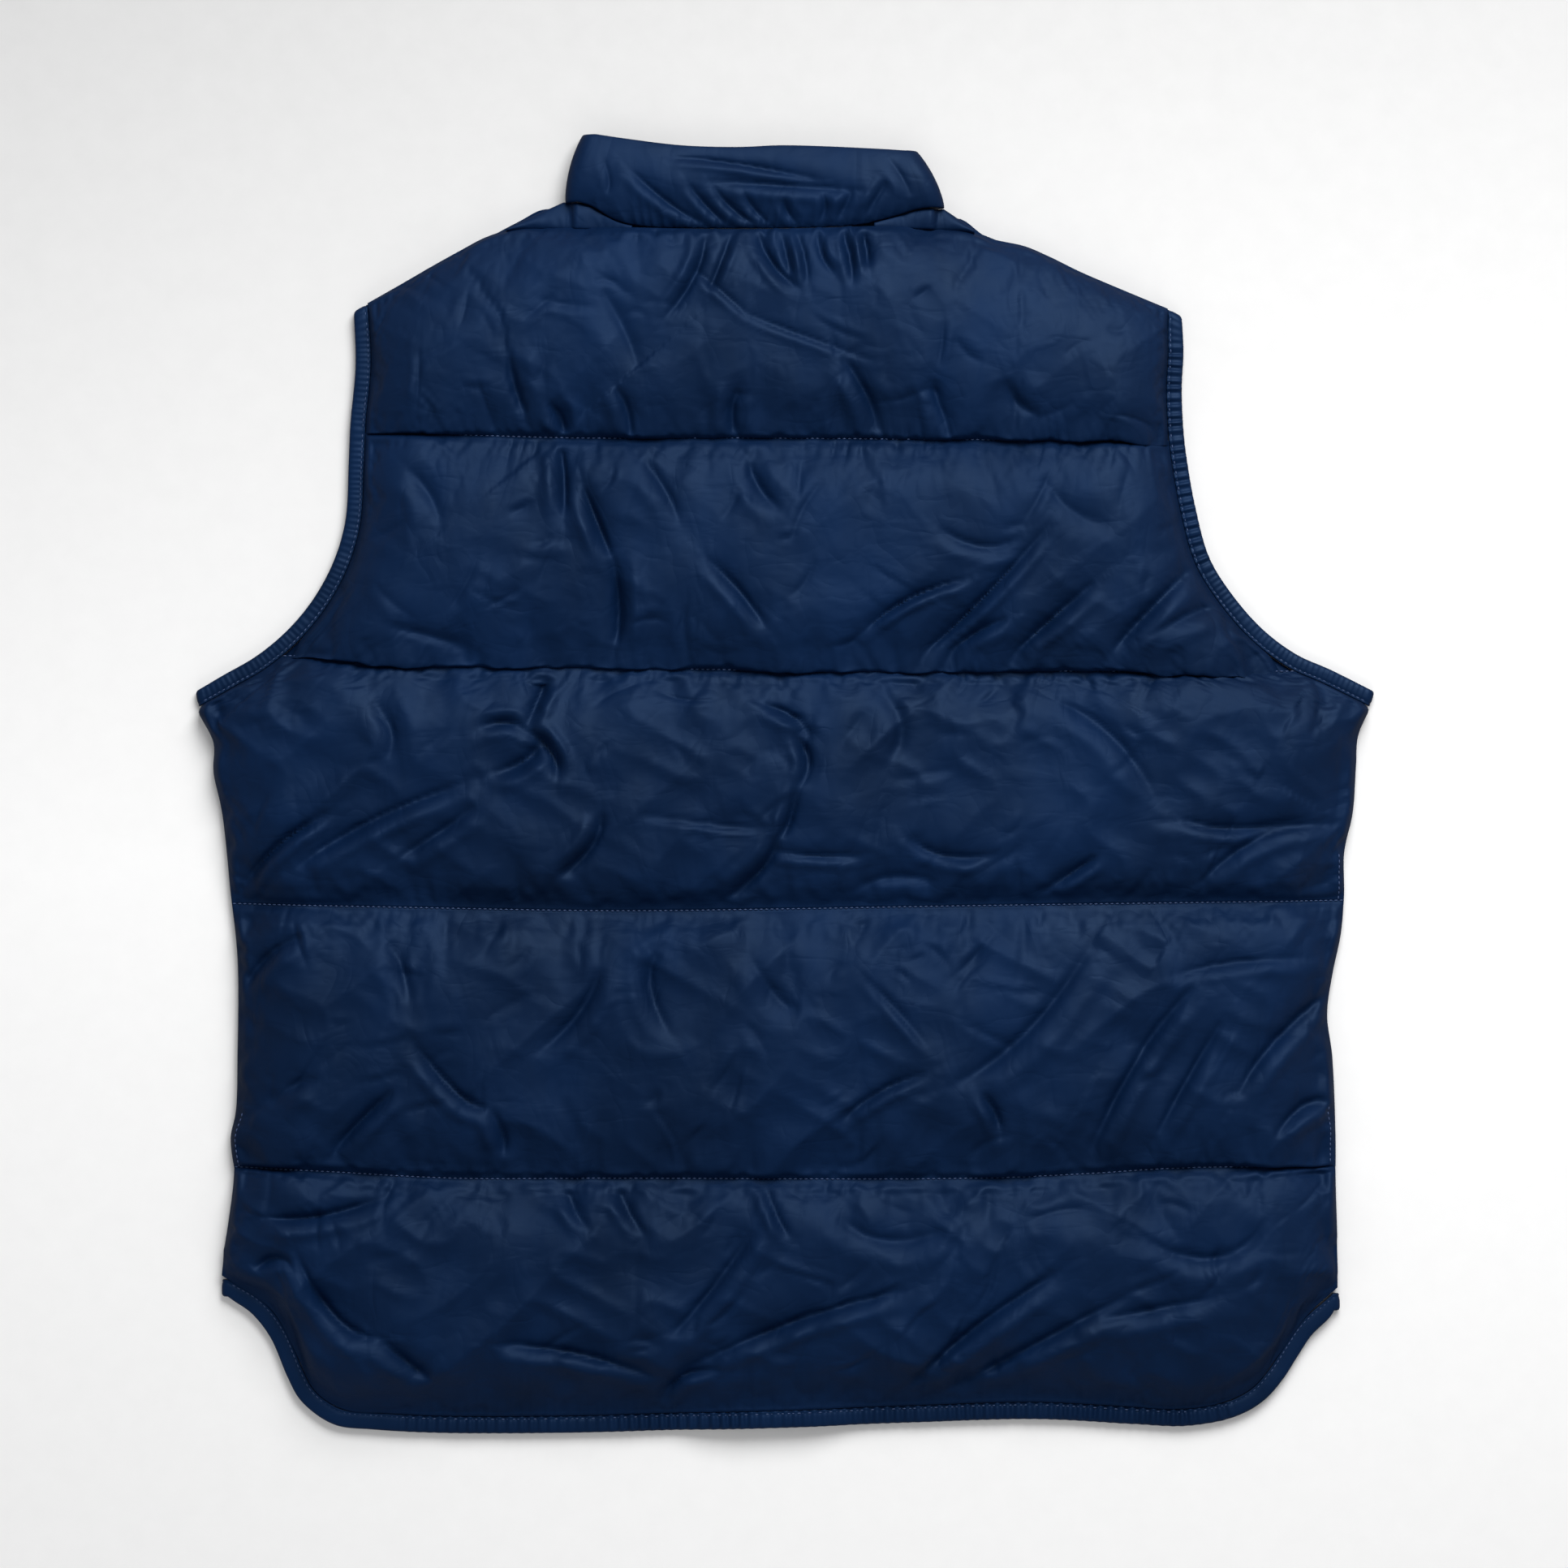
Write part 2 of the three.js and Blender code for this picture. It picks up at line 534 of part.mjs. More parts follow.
// The front runs over the shoulder beside the neck and ends at a seam on the back. Past the
// side neck point it rises over the collar.
function shoulderTurn(leftSide) {
  const { outer, near, tip, inward } = leftSide ? TURNS.left : TURNS.right;
  const seam = trace(BACK_TOP);
  const seamY = (x) => crossing(seam, 'x', x) + SEAM_GAP * 2;
  const collarEdge = trace(COLLAR_SEAM).filter(({ x }) => (x - near.x) * inward > TURN_CLEAR);
  const collarSide = (leftSide ? collarEdge : collarEdge.reverse())
    .map(({ x, y }) => new THREE.Vector2(x, y - SEAM_GAP * 3));
  const upper = [outer, near, ...collarSide].map(({ x, y }) => new THREE.Vector2(x, y));
  const parts = evenly(TURN_STEPS).map((u) => lerp(TURN_ENDS, 1 - TURN_ENDS, u));
  const grid = TURN_ROWS.map((up) => (leftSide ? parts : parts.slice().reverse()).map((part) => {
    const x = lerp(outer.x, tip.x, part);
    return new THREE.Vector2(x, lerp(seamY(x), Math.max(crossing(upper, 'x', x), seamY(x) + 1), up));
  }));
  const bottom = ({ x }) => TURN_OVER_COLLAR * smooth(((x - near.x) * inward) / TURN_CLEAR);
  const top = (point, i, j) => Math.max(layerHeight(point) + LAYER_GAP, bottom(point))
    + EDGE_WALL + TURN_PUFF * Math.sin(Math.PI * TURN_ROWS[j]);
  const joint = new THREE.BoxGeometry(TURN_JOINT.x, TURN_JOINT.y, TURN_JOINT.z);
  joint.translate((outer.x + near.x) / 2, seamY(near.x) - 1, TURN_JOINT.z / 2);
  return toManifold(wallOverPlan(grid, top, bottom)).add(toManifold(joint));
}

// Front with its turn over the shoulder, its half of the lap and the seats of its press studs
function front(leftSide, seats) {
  const way = leftSide ? 1 : -1;
  const block = (x, z) => toManifold(new THREE.BoxGeometry(2 * CUT_REACH, 2 * CUT_REACH, 2 * CUT_REACH)
    .translate(x, 0, z));
  const otherSide = block(CENTRE_X + way * (LAP_HALF + CUT_REACH), 0);
  const otherLapX = CENTRE_X + way * (CUT_REACH - LAP_HALF - SEAM_GAP);
  const otherLapZ = leftSide ? LAP_UNDER + CUT_REACH : LAP_UNDER + SEAM_GAP - CUT_REACH;
  let solid = toManifold(frontBody()).subtract(toManifold(neckCutter())).subtract(otherSide);
  solid = solid.subtract(block(otherLapX, otherLapZ)).add(shoulderTurn(leftSide));
  for (const seat of seats) solid = solid.subtract(toManifold(seat));
  return fromManifold(solid);
}

// Widths of a strip that end just short of the panels' own edge.
function fitted(stations, panelEdge, width) {
  return stations.map((station) => {
    const { edge, across } = station;
    let reach = width + SEAM_GAP;
    for (let k = 1; k < panelEdge.length; k++) {
      const side = panelEdge[k].clone().sub(panelEdge[k - 1]);
      const offset = panelEdge[k - 1].clone().sub(edge);
      const turn = across.cross(side);
      const distance = offset.cross(side) / turn;
      const part = offset.cross(across) / turn;
      if (part >= 0 && part <= 1 && distance > width / 2 && distance < width * 1.5) reach = distance;
    }
    return { ...station, width: reach - SEAM_GAP };
  });
}

// Legs of a binding: on the back above and on the front below, joined by a fold at each end.
function bindingStation({ edge, across, baseZ, height, width, turn, outward }) {
  const normal = new THREE.Vector3(outward.x * Math.sin(turn), outward.y * Math.sin(turn), Math.cos(turn));
  const place = (part, rise) => {
    const point = edge.clone().addScaledVector(across, width * part);
    return new THREE.Vector3(point.x, point.y, baseZ).addScaledVector(normal, rise);
  };
  const inside = SEAM_GAP / 2;
  return {
    outer: [place(0, inside + height * BINDING_EDGE_SHARE), place(0.5, inside + height + BINDING_ROUND),
      place(1, inside + height)],
    inner: [place(0, inside), place(1, inside)],
  };
}

// A binding is kept flat on the front, where the vest rests on it.
function bindingLeg(stations, side, ripple) {
  return stations.map(({ edge, across, width, at }) => {
    const level = edgeHeight(edge.x) + SEAM_GAP / 2;
    const height = side > 0 ? BINDING_WALL + ripple(edge, at) : BINDING_WALL;
    const turn = side > 0 ? 0 : Math.PI;
    return bindingStation({ edge, across, baseZ: level, height, width, turn, outward: new THREE.Vector2() });
  });
}

function bindingFold(station, outward, fromBack) {
  const steps = evenly(FOLD_STEPS).slice(1, -1);
  return steps.map((part) => bindingStation({
    edge: station.edge,
    across: station.across,
    baseZ: EDGE_WALL + SEAM_GAP / 2,
    height: BINDING_WALL,
    width: station.width,
    turn: Math.PI * (fromBack ? part : 1 - part),
    outward,
  }));
}

const flatUnder = (station) => ({
  outer: station.outer.map((point) => new THREE.Vector3(point.x, point.y, Math.max(point.z, 0))),
  inner: station.inner,
});

// Stations whose inner points lie beside the corners of the panel's edge, in order.
function besideCorners(stations, panelEdge) {
  const picked = new Set([stations[0], stations.at(-1)]);
  for (const corner of panelEdge) {
    const away = ({ edge, across, width }) => edge.clone().addScaledVector(across, width).distanceTo(corner);
    const best = stations.reduce((near, station) => (away(station) < away(near) ? station : near));
    if (away(best) < BESIDE) picked.add(best);
  }
  return [...picked].sort((one, two) => one.at - two.at);
}

function armholeBinding({ rows, inward, firstCut, lastCut, panelEdge, gathers }) {
  const fine = strip(rows, ARMHOLE_WIDTH, inward, firstCut, lastCut, FINE_STEPS.armhole);
  const all = fitted(fine, panelEdge, ARMHOLE_WIDTH);
  const total = all.at(-1).at;
  const pull = BINDING_WALL + CLEAR_OF_OUTLINE;
  const kept = all.filter(({ at }) => at > pull && at < total - pull);
  const plain = besideCorners(kept, panelEdge);
  const pitch = gathers ? (gathers.to - gathers.from) / gathers.count : 0;
  const ripple = (edge, at) => {
    if (!gathers || at < gathers.from || at > gathers.to) return 0;
    return gathers.height * Math.sin(((at - gathers.from) / pitch) * 2 * Math.PI);
  };
  const back = new Set(plain);
  if (gathers) {
    for (let at = gathers.from; at <= gathers.to; at += pitch / STEPS_PER_GATHER) {
      back.add(kept.reduce((near, one) => (Math.abs(one.at - at) < Math.abs(near.at - at) ? one : near)));
    }
  }
  const outwardAt = (a, b) => a.edge.clone().sub(b.edge).normalize();
  const stations = [
    ...bindingLeg([...back].sort((one, two) => one.at - two.at), 1, ripple),
    ...bindingFold(kept.at(-1), outwardAt(kept.at(-1), kept.at(-2)), true),
    ...bindingLeg(plain.slice().reverse(), -1, ripple),
    ...bindingFold(kept[0], outwardAt(kept[0], kept[1]), false),
  ];
  return facingOut(bandThrough(stations.map(flatUnder), true));
}

// Hem binding: elastic gathers it between two flat ends on the back, and it laps at the front.
function hemBinding() {
  const { from, to, count, height } = HEM_GATHERS;
  const pitch = (to - from) / count;
  const all = fitted(strip(HEM, HEM_WIDTH, 1, sideCutHem, sideCutHem, FINE_STEPS.hem), plan[0], HEM_WIDTH);
  const total = all.at(-1).at;
  const pull = BINDING_WALL + CLEAR_OF_OUTLINE;
  const kept = all.filter(({ at }) => at > pull && at < total - pull);
  const plain = besideCorners(kept, plan[0]);
  const nearest = (x) =>
    kept.reduce((near, one) => (Math.abs(one.edge.x - x) < Math.abs(near.edge.x - x) ? one : near));
  const ripple = ({ x }) => (x < from || x > to ? 0 : height * Math.sin(((x - from) / pitch) * 2 * Math.PI));
  const back = new Set(plain.filter(({ edge }) => edge.x < from || edge.x > to));
  for (let x = from; x <= to; x += pitch / STEPS_PER_GATHER) back.add(nearest(x));
  const [lapLeft, lapRight] = [CENTRE_X - LAP_HALF, CENTRE_X + LAP_HALF];
  const frontLeg = (stations, liftedTo) => stations.map(({ edge, across, width }) => {
    const low = edge.x < liftedTo ? LAP_UNDER + SEAM_GAP : 0;
    const place = (part, z) => {
      const point = edge.clone().addScaledVector(across, width * part);
      return new THREE.Vector3(point.x, point.y, z);
    };
    return {
      outer: [place(0, low), place(0.5, low), place(1, low)],
      inner: [place(0, low + BINDING_WALL), place(1, low + BINDING_WALL)],
    };
  });
  const left = [nearest(lapRight), ...plain.filter(({ edge }) => edge.x < lapRight - BESIDE).reverse()];
  const right = [
    ...plain.filter(({ edge }) => edge.x > lapRight + 2 * BESIDE).reverse(),
    nearest(lapRight + HEM_LAP_STEP.low),
    nearest(lapRight + HEM_LAP_STEP.high),
    ...plain.filter(({ edge }) => edge.x < lapRight - BESIDE && edge.x > lapLeft + BESIDE).reverse(),
    nearest(lapLeft),
  ];
  const stations = [
    ...frontLeg(left, -Infinity),
    ...bindingFold(kept[0], new THREE.Vector2(-1, 0), false),
    ...bindingLeg([...back].sort((one, two) => one.at - two.at), 1, ripple),
    ...bindingFold(kept.at(-1), new THREE.Vector2(1, 0), true),
    ...frontLeg(right, lapRight + (HEM_LAP_STEP.low + HEM_LAP_STEP.high) / 2),
  ];
  return facingOut(bandThrough(stations.map(flatUnder), false));
}

// Collar: one padded band, open at the front, pressed flat with its back above its fronts
function collar() {
  const seam = trace(COLLAR_SEAM);
  const edge = trace(COLLAR_TOP);
  const acrossParts = closeAtEnds(COLLAR_ACROSS);
  const wall = (part) => COLLAR_EDGE + COLLAR_LOFT * Math.sin(Math.PI * part) ** COLLAR_FULLNESS;
  const station = (base, top, place) => {
    const spot = (part) => base.clone().lerp(top, part);
    return {
      outer: acrossParts.map((part) => place(spot(part), part, wall(part))),
      inner: acrossParts.map((part) => place(spot(part), part, 0)),
    };
  };
  const lifted = (point, z) => new THREE.Vector3(point.x, point.y, z);
  const back = evenly(COLLAR_BACK_STEPS).map((u) => station(along(seam, u), along(edge, u),
    (point, part, rise) => {
      const ends = 1 - Math.abs(2 * u - 1) ** COLLAR_END_FADE;
      const crease = foldDepth(COLLAR_FOLDS, point) * Math.sin(Math.PI * part) * ends;
      return lifted(point, COLLAR_INSIDE_Z + (rise > 0 ? Math.max(rise - crease, COLLAR_EDGE) : 0));
    }));
  const fold = (base, top, outX, fromBack) => evenly(FOLD_STEPS + 2).slice(1, -1).map((part) =>
    station(base, top, (point, acrossPart, rise) => {
      const turn = Math.PI * (fromBack ? part : 1 - part);
      const radius = (COLLAR_INSIDE_Z - wall(acrossPart)) / 2;
      const middle = (COLLAR_INSIDE_Z + wall(acrossPart)) / 2;
      const reach = radius + rise;
      const x = point.x + outX * Math.sin(turn) * reach;
      return new THREE.Vector3(x, point.y, middle + Math.cos(turn) * reach);
    }));
  const frontHalf = (leftSide) => {
    const foldBase = leftSide ? seam[0] : seam.at(-1);
    const foldTop = leftSide ? edge[0] : edge.at(-1);
    const foldHeight = foldBase.distanceTo(foldTop);
    const foldWay = foldTop.clone().sub(foldBase).normalize();
    const lapX = CENTRE_X + (leftSide ? LAP_HALF : -LAP_HALF);
    const stepX = CENTRE_X + (leftSide ? -LAP_HALF : LAP_HALF);
    const parts = evenly(COLLAR_FRONT_STEPS).slice(0, -1);
    const lapSteps = leftSide ? COLLAR_LAP_STEPS.left : COLLAR_LAP_STEPS.right;
    const toLap = parts.map((part) => lerp(foldBase.x, stepX, part));
    const xs = [...toLap, ...lapSteps.map((x) => stepX + x), lapX];
    return xs.map((x, k) => {
      const share = clamp(k / COLLAR_FRONT_STEPS, 0, 1);
      const base = new THREE.Vector2(x, necklineY(x) + SEAM_GAP * 2);
      if (k === 0) base.copy(foldBase);
      const way = foldWay.clone().lerp(new THREE.Vector2(0, 1), share).normalize();
      const top = base.clone().addScaledVector(way, lerp(foldHeight, COLLAR_FRONT_HEIGHT, share));
      const inLap = k >= COLLAR_FRONT_STEPS + 1;
      return station(base, top, (point, part, rise) => {
        const full = wall(part);
        if (!inLap) return lifted(point, rise > 0 ? 0 : full);
        if (leftSide) return lifted(point, rise > 0 ? 0 : Math.min(full, COLLAR_LAP_WALL));
        const low = COLLAR_LAP_WALL + SEAM_GAP;
        return lifted(point, rise > 0 ? low : low + COLLAR_LAP_WALL);
      });
    });
  };
  const stations = [
    ...frontHalf(true).reverse(),
    ...fold(seam[0], edge[0], -1, false),
    ...back,
    ...fold(seam.at(-1), edge.at(-1), 1, true),
    ...frontHalf(false),
  ];
  return facingOut(bandThrough(stations, false));
}

// Press stud: a cap whose post goes through the outer lap, over a socket in the inner lap
function lathe(rows) {
  return new THREE.LatheGeometry(rows.map(([radius, z]) => new THREE.Vector2(radius, z)), STUD_SIDES)
    .rotateX(Math.PI / 2);
}
function studCap(y, grow) {
  const { radius, height, post } = STUD_CAP;
  const past = grow > 0 ? SEAT_PAST : 0;
  const [low, top] = [-past, LAP_UNDER + past];
  return lathe([[0, low], [radius + grow, low], [radius + grow, height + grow], [post + grow, height + grow],
    [post + grow, top], [0, top]]).translate(CENTRE_X, y, 0);
}
function studSocket(y, grow) {
  const { radius, height } = STUD_SOCKET;
  const low = LAP_UNDER + SEAM_GAP - grow;
  const top = LAP_UNDER + SEAM_GAP + height + grow;
  return lathe([[0, low], [radius + grow, low], [radius + grow, top], [0, top]]).translate(CENTRE_X, y, 0);
}

const vest = new THREE.Group();

function add(name, geometry, color, roughness, metalness = 0) {
  const material = new THREE.MeshStandardMaterial({ color, roughness, metalness });
  geometry.computeVertexNormals();
  const mesh = new THREE.Mesh(geometry, material);
  mesh.name = name;
  vest.add(mesh);
}

const studYs = evenly(STUD_COUNT - 1).map((part) => lerp(STUD_FIRST_Y, STUD_LAST_Y, part));

add('back_panel', backPanel(), BACK_COLOUR, 0.4);
add('left_front', front(true, studYs.map((y) => studCap(y, SEAM_GAP))), FRONT_COLOUR, 0.4);
add('right_front', front(false, studYs.map((y) => studSocket(y, SEAM_GAP))), FRONT_COLOUR, 0.4);
add('collar', collar(), COLLAR_COLOUR, 0.38);
const panelLeft = plan.map((row) => row[0]);
const panelRight = plan.map((row) => row.at(-1));
const leftArmhole = { rows: ARMHOLE_LEFT, inward: 1, firstCut: shoulderCutLeft, lastCut: sideCutLeft };
const rightArmhole = { rows: ARMHOLE_RIGHT, inward: -1, firstCut: shoulderCutRight, lastCut: sideCutRight };
const leftBinding = armholeBinding({ ...leftArmhole, panelEdge: panelLeft });
const rightBinding = armholeBinding({ ...rightArmhole, panelEdge: panelRight, gathers: ARMHOLE_GATHERS });
add('armhole_binding_left', leftBinding, BINDING_COLOUR, 0.45);
add('armhole_binding_right', rightBinding, BINDING_COLOUR, 0.45);
add('hem_binding', hemBinding(), BINDING_COLOUR, 0.45);
studYs.forEach((y, k) => {
  add(`stud_cap_${k + 1}`, studCap(y, 0), STUD_COLOUR, 0.35, 0.6);
  add(`stud_socket_${k + 1}`, studSocket(y, 0), STUD_COLOUR, 0.35, 0.6);
});

export default vest;
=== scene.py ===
"""Quilted vest with a stand collar, laid face down: its cloth, stitches, studs, floor and light."""
import math

import bpy
import numpy as np
from bpy.props import FloatProperty, FloatVectorProperty, IntProperty, PointerProperty
from bpy.types import Operator, Panel, PropertyGroup
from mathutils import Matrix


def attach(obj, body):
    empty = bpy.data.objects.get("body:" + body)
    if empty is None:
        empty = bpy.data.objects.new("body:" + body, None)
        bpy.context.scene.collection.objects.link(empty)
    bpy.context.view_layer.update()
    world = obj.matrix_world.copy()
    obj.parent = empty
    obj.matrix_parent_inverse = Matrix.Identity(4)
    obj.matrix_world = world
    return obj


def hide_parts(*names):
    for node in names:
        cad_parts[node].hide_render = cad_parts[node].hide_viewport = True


bl_info = {
    "name": "Quilted vest",
    "version": (1, 0, 0),
    "blender": (4, 5, 0),
    "location": "3D Viewport > Sidebar > Vest",
    "description": "Padded vest laid face down, with its stitches, floor and light",
    "category": "Add Mesh",
}

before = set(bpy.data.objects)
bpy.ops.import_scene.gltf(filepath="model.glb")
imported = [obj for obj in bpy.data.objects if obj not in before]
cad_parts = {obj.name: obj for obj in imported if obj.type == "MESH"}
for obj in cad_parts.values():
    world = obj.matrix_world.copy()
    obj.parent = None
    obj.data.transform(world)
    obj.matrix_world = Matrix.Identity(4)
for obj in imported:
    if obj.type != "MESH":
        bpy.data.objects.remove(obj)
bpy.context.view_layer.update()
MM = 0.001

# Outline and seams of the vest in millimetres, as in the part's source.
SHOULDER_LEFT = [(-236, 286), (-215, 298), (-194, 310), (-164, 325), (-147, 334), (-128, 341)]
SHOULDER_RIGHT = [(93, 337), (109, 327), (118, 321), (144, 314), (169, 302), (192, 292), (216, 282)]
ARMHOLE_LEFT = [
    (-252, 277), (-251, 245), (-254, 211), (-255, 188), (-257, 154), (-264, 130), (-276, 108),
    (-291, 90), (-309, 75), (-328, 64), (-345, 54)]
ARMHOLE_RIGHT = [
    (233, 274), (234, 253), (233, 232), (234, 207), (236, 190), (241, 162), (249, 133), (261, 113),
    (280, 91), (300, 76), (320, 67), (346, 54)]
SIDE_LEFT = [
    (-342, 40), (-334, 24), (-334, 7), (-329, -17), (-324, -64), (-320, -102), (-320, -159),
    (-321, -192), (-324, -207), (-322, -226), (-325, -254), (-328, -273)]
SIDE_RIGHT = [
    (341, 40), (336, 28), (335, 12), (333, -17), (328, -40), (328, -64), (326, -88), (321, -112),
    (318, -135), (321, -159), (323, -207), (323, -229), (324, -264)]
HEM = [
    (-329, -298), (-322, -303), (-312, -310), (-301, -324), (-291, -347), (-284, -360),
    (-273, -370), (-261, -376), (-242, -378), (-205, -380), (-126, -380), (-55, -378), (16, -376),
    (75, -374), (148, -372), (206, -375), (235, -376), (263, -371), (280, -362), (292, -349),
    (301, -335), (309, -323), (320, -312), (324, -305)]
BACK_TOP = [
    (-236, 286), (-215, 298), (-194, 310), (-164, 324), (-124, 326), (-92, 325), (-45, 324),
    (-7, 324), (31, 325), (65, 326), (80, 326), (112, 323), (118, 320), (144, 314), (169, 302),
    (192, 292), (216, 282)]
QUILT_LINES = [
    [(-245, 206), (-126, 202), (-31, 202), (110, 201), (225, 201)],
    [(-284, 75), (-221, 70), (-98, 68), (16, 66), (135, 66), (301, 66)],
    [(-321, -70), (-221, -72), (-98, -74), (-7, -73), (111, -71), (328, -68)],
    [(-321, -224), (-269, -226), (-193, -230), (-98, -230), (111, -230), (183, -227), (230, -224),
     (323, -223)]]
COLLAR_SEAM = [
    (-120, 340), (-113, 338), (-97, 329), (-80, 325.6), (-45, 324.6), (-7, 324.6), (31, 325.6),
    (46, 327), (65, 332), (78, 336), (86, 337)]
COLLAR_TOP = [(-110, 379.5), (-93, 377), (-60, 373), (-27, 372), (0, 373), (54, 371), (70, 370)]

# Directions in which the edge strips are cut at the shoulder, underarm and side
SHOULDER_CUT = {"left": (16, 9), "right": (-17, 9)}
SIDE_CUT = {"left": (3, -14), "right": (-5, -14)}
HEM_CUT = (0, 1)

# Walls, heights and gaps in millimetres, as in the part's source
SEAM_GAP = 0.3
EDGE_WALL = 3
FRONT_LOFT = 14
EDGE_ROLL = 45
CENTRE_X = -8
LAP_HALF = 15
LAP_UNDER = 5
LAP_STACK = 8.6
LAP_BLEND = 45
NECK_DROP_Y = 264
NECK_CURVE = 2.2
ARMHOLE_WIDTH = 9
HEM_WIDTH = 10
COLLAR_INSIDE = 12
COLLAR_EDGE = 3.5
COLLAR_FRONT = 48
STUD_YS = np.linspace(-348, 240, 6)

# Lengths over which a strip turns to its cut, and before its end where its fold starts
CUT_BLEND = 22
FOLD_START = EDGE_WALL + 0.4

# Span of the hem's elastic in X and its ripples. Ruching of the right armhole: where it starts
# and stops along the strip, its ripples and their height.
ELASTIC = (-228, 268)
RIPPLES = 83
RUCHING = (12, 156, 29, 0.6)

# Part of a strip's width at which its stitches run
STITCH_LINE = 0.84

# Grid of the back, how finely it is divided for its creases, and a channel's usual height
COLUMNS, ROWS = 150, 30
FINER = 3
CHANNEL = 140

# Height that the padding nears at its crowns, how much of it is kept, and the most that the
# cloth may move as it swells
CROWN = 22
CROWN_KEPT = 0.82
MOST_SWELL = 14

# How crumpled each channel is, and how far the upper four hang over the quilt line below them at
# the left and right, from the hem up
CRUMPLED = (1.1, 1.0, 1.0, 0.55, 0.5)
OVERHANGS = ((2.4, 4.2), (0.4, 0.8), (5.0, 5.4), (3.0, 5.0))

SHELL_ROUGHNESS = 0.58

# Widths over which a channel rises beside the hem, the four quilt lines and the top seam
SEAM_SLOPES = (28, 5, 11, 3, 3, 3)

# Seam stitches seen at the sides: column of the back's grid, lowest and highest Y
SIDE_STITCHES = [(3, -226, -190), (-4, -70, -40), (-4, -222, -188)]
SIDE_RUNS = []

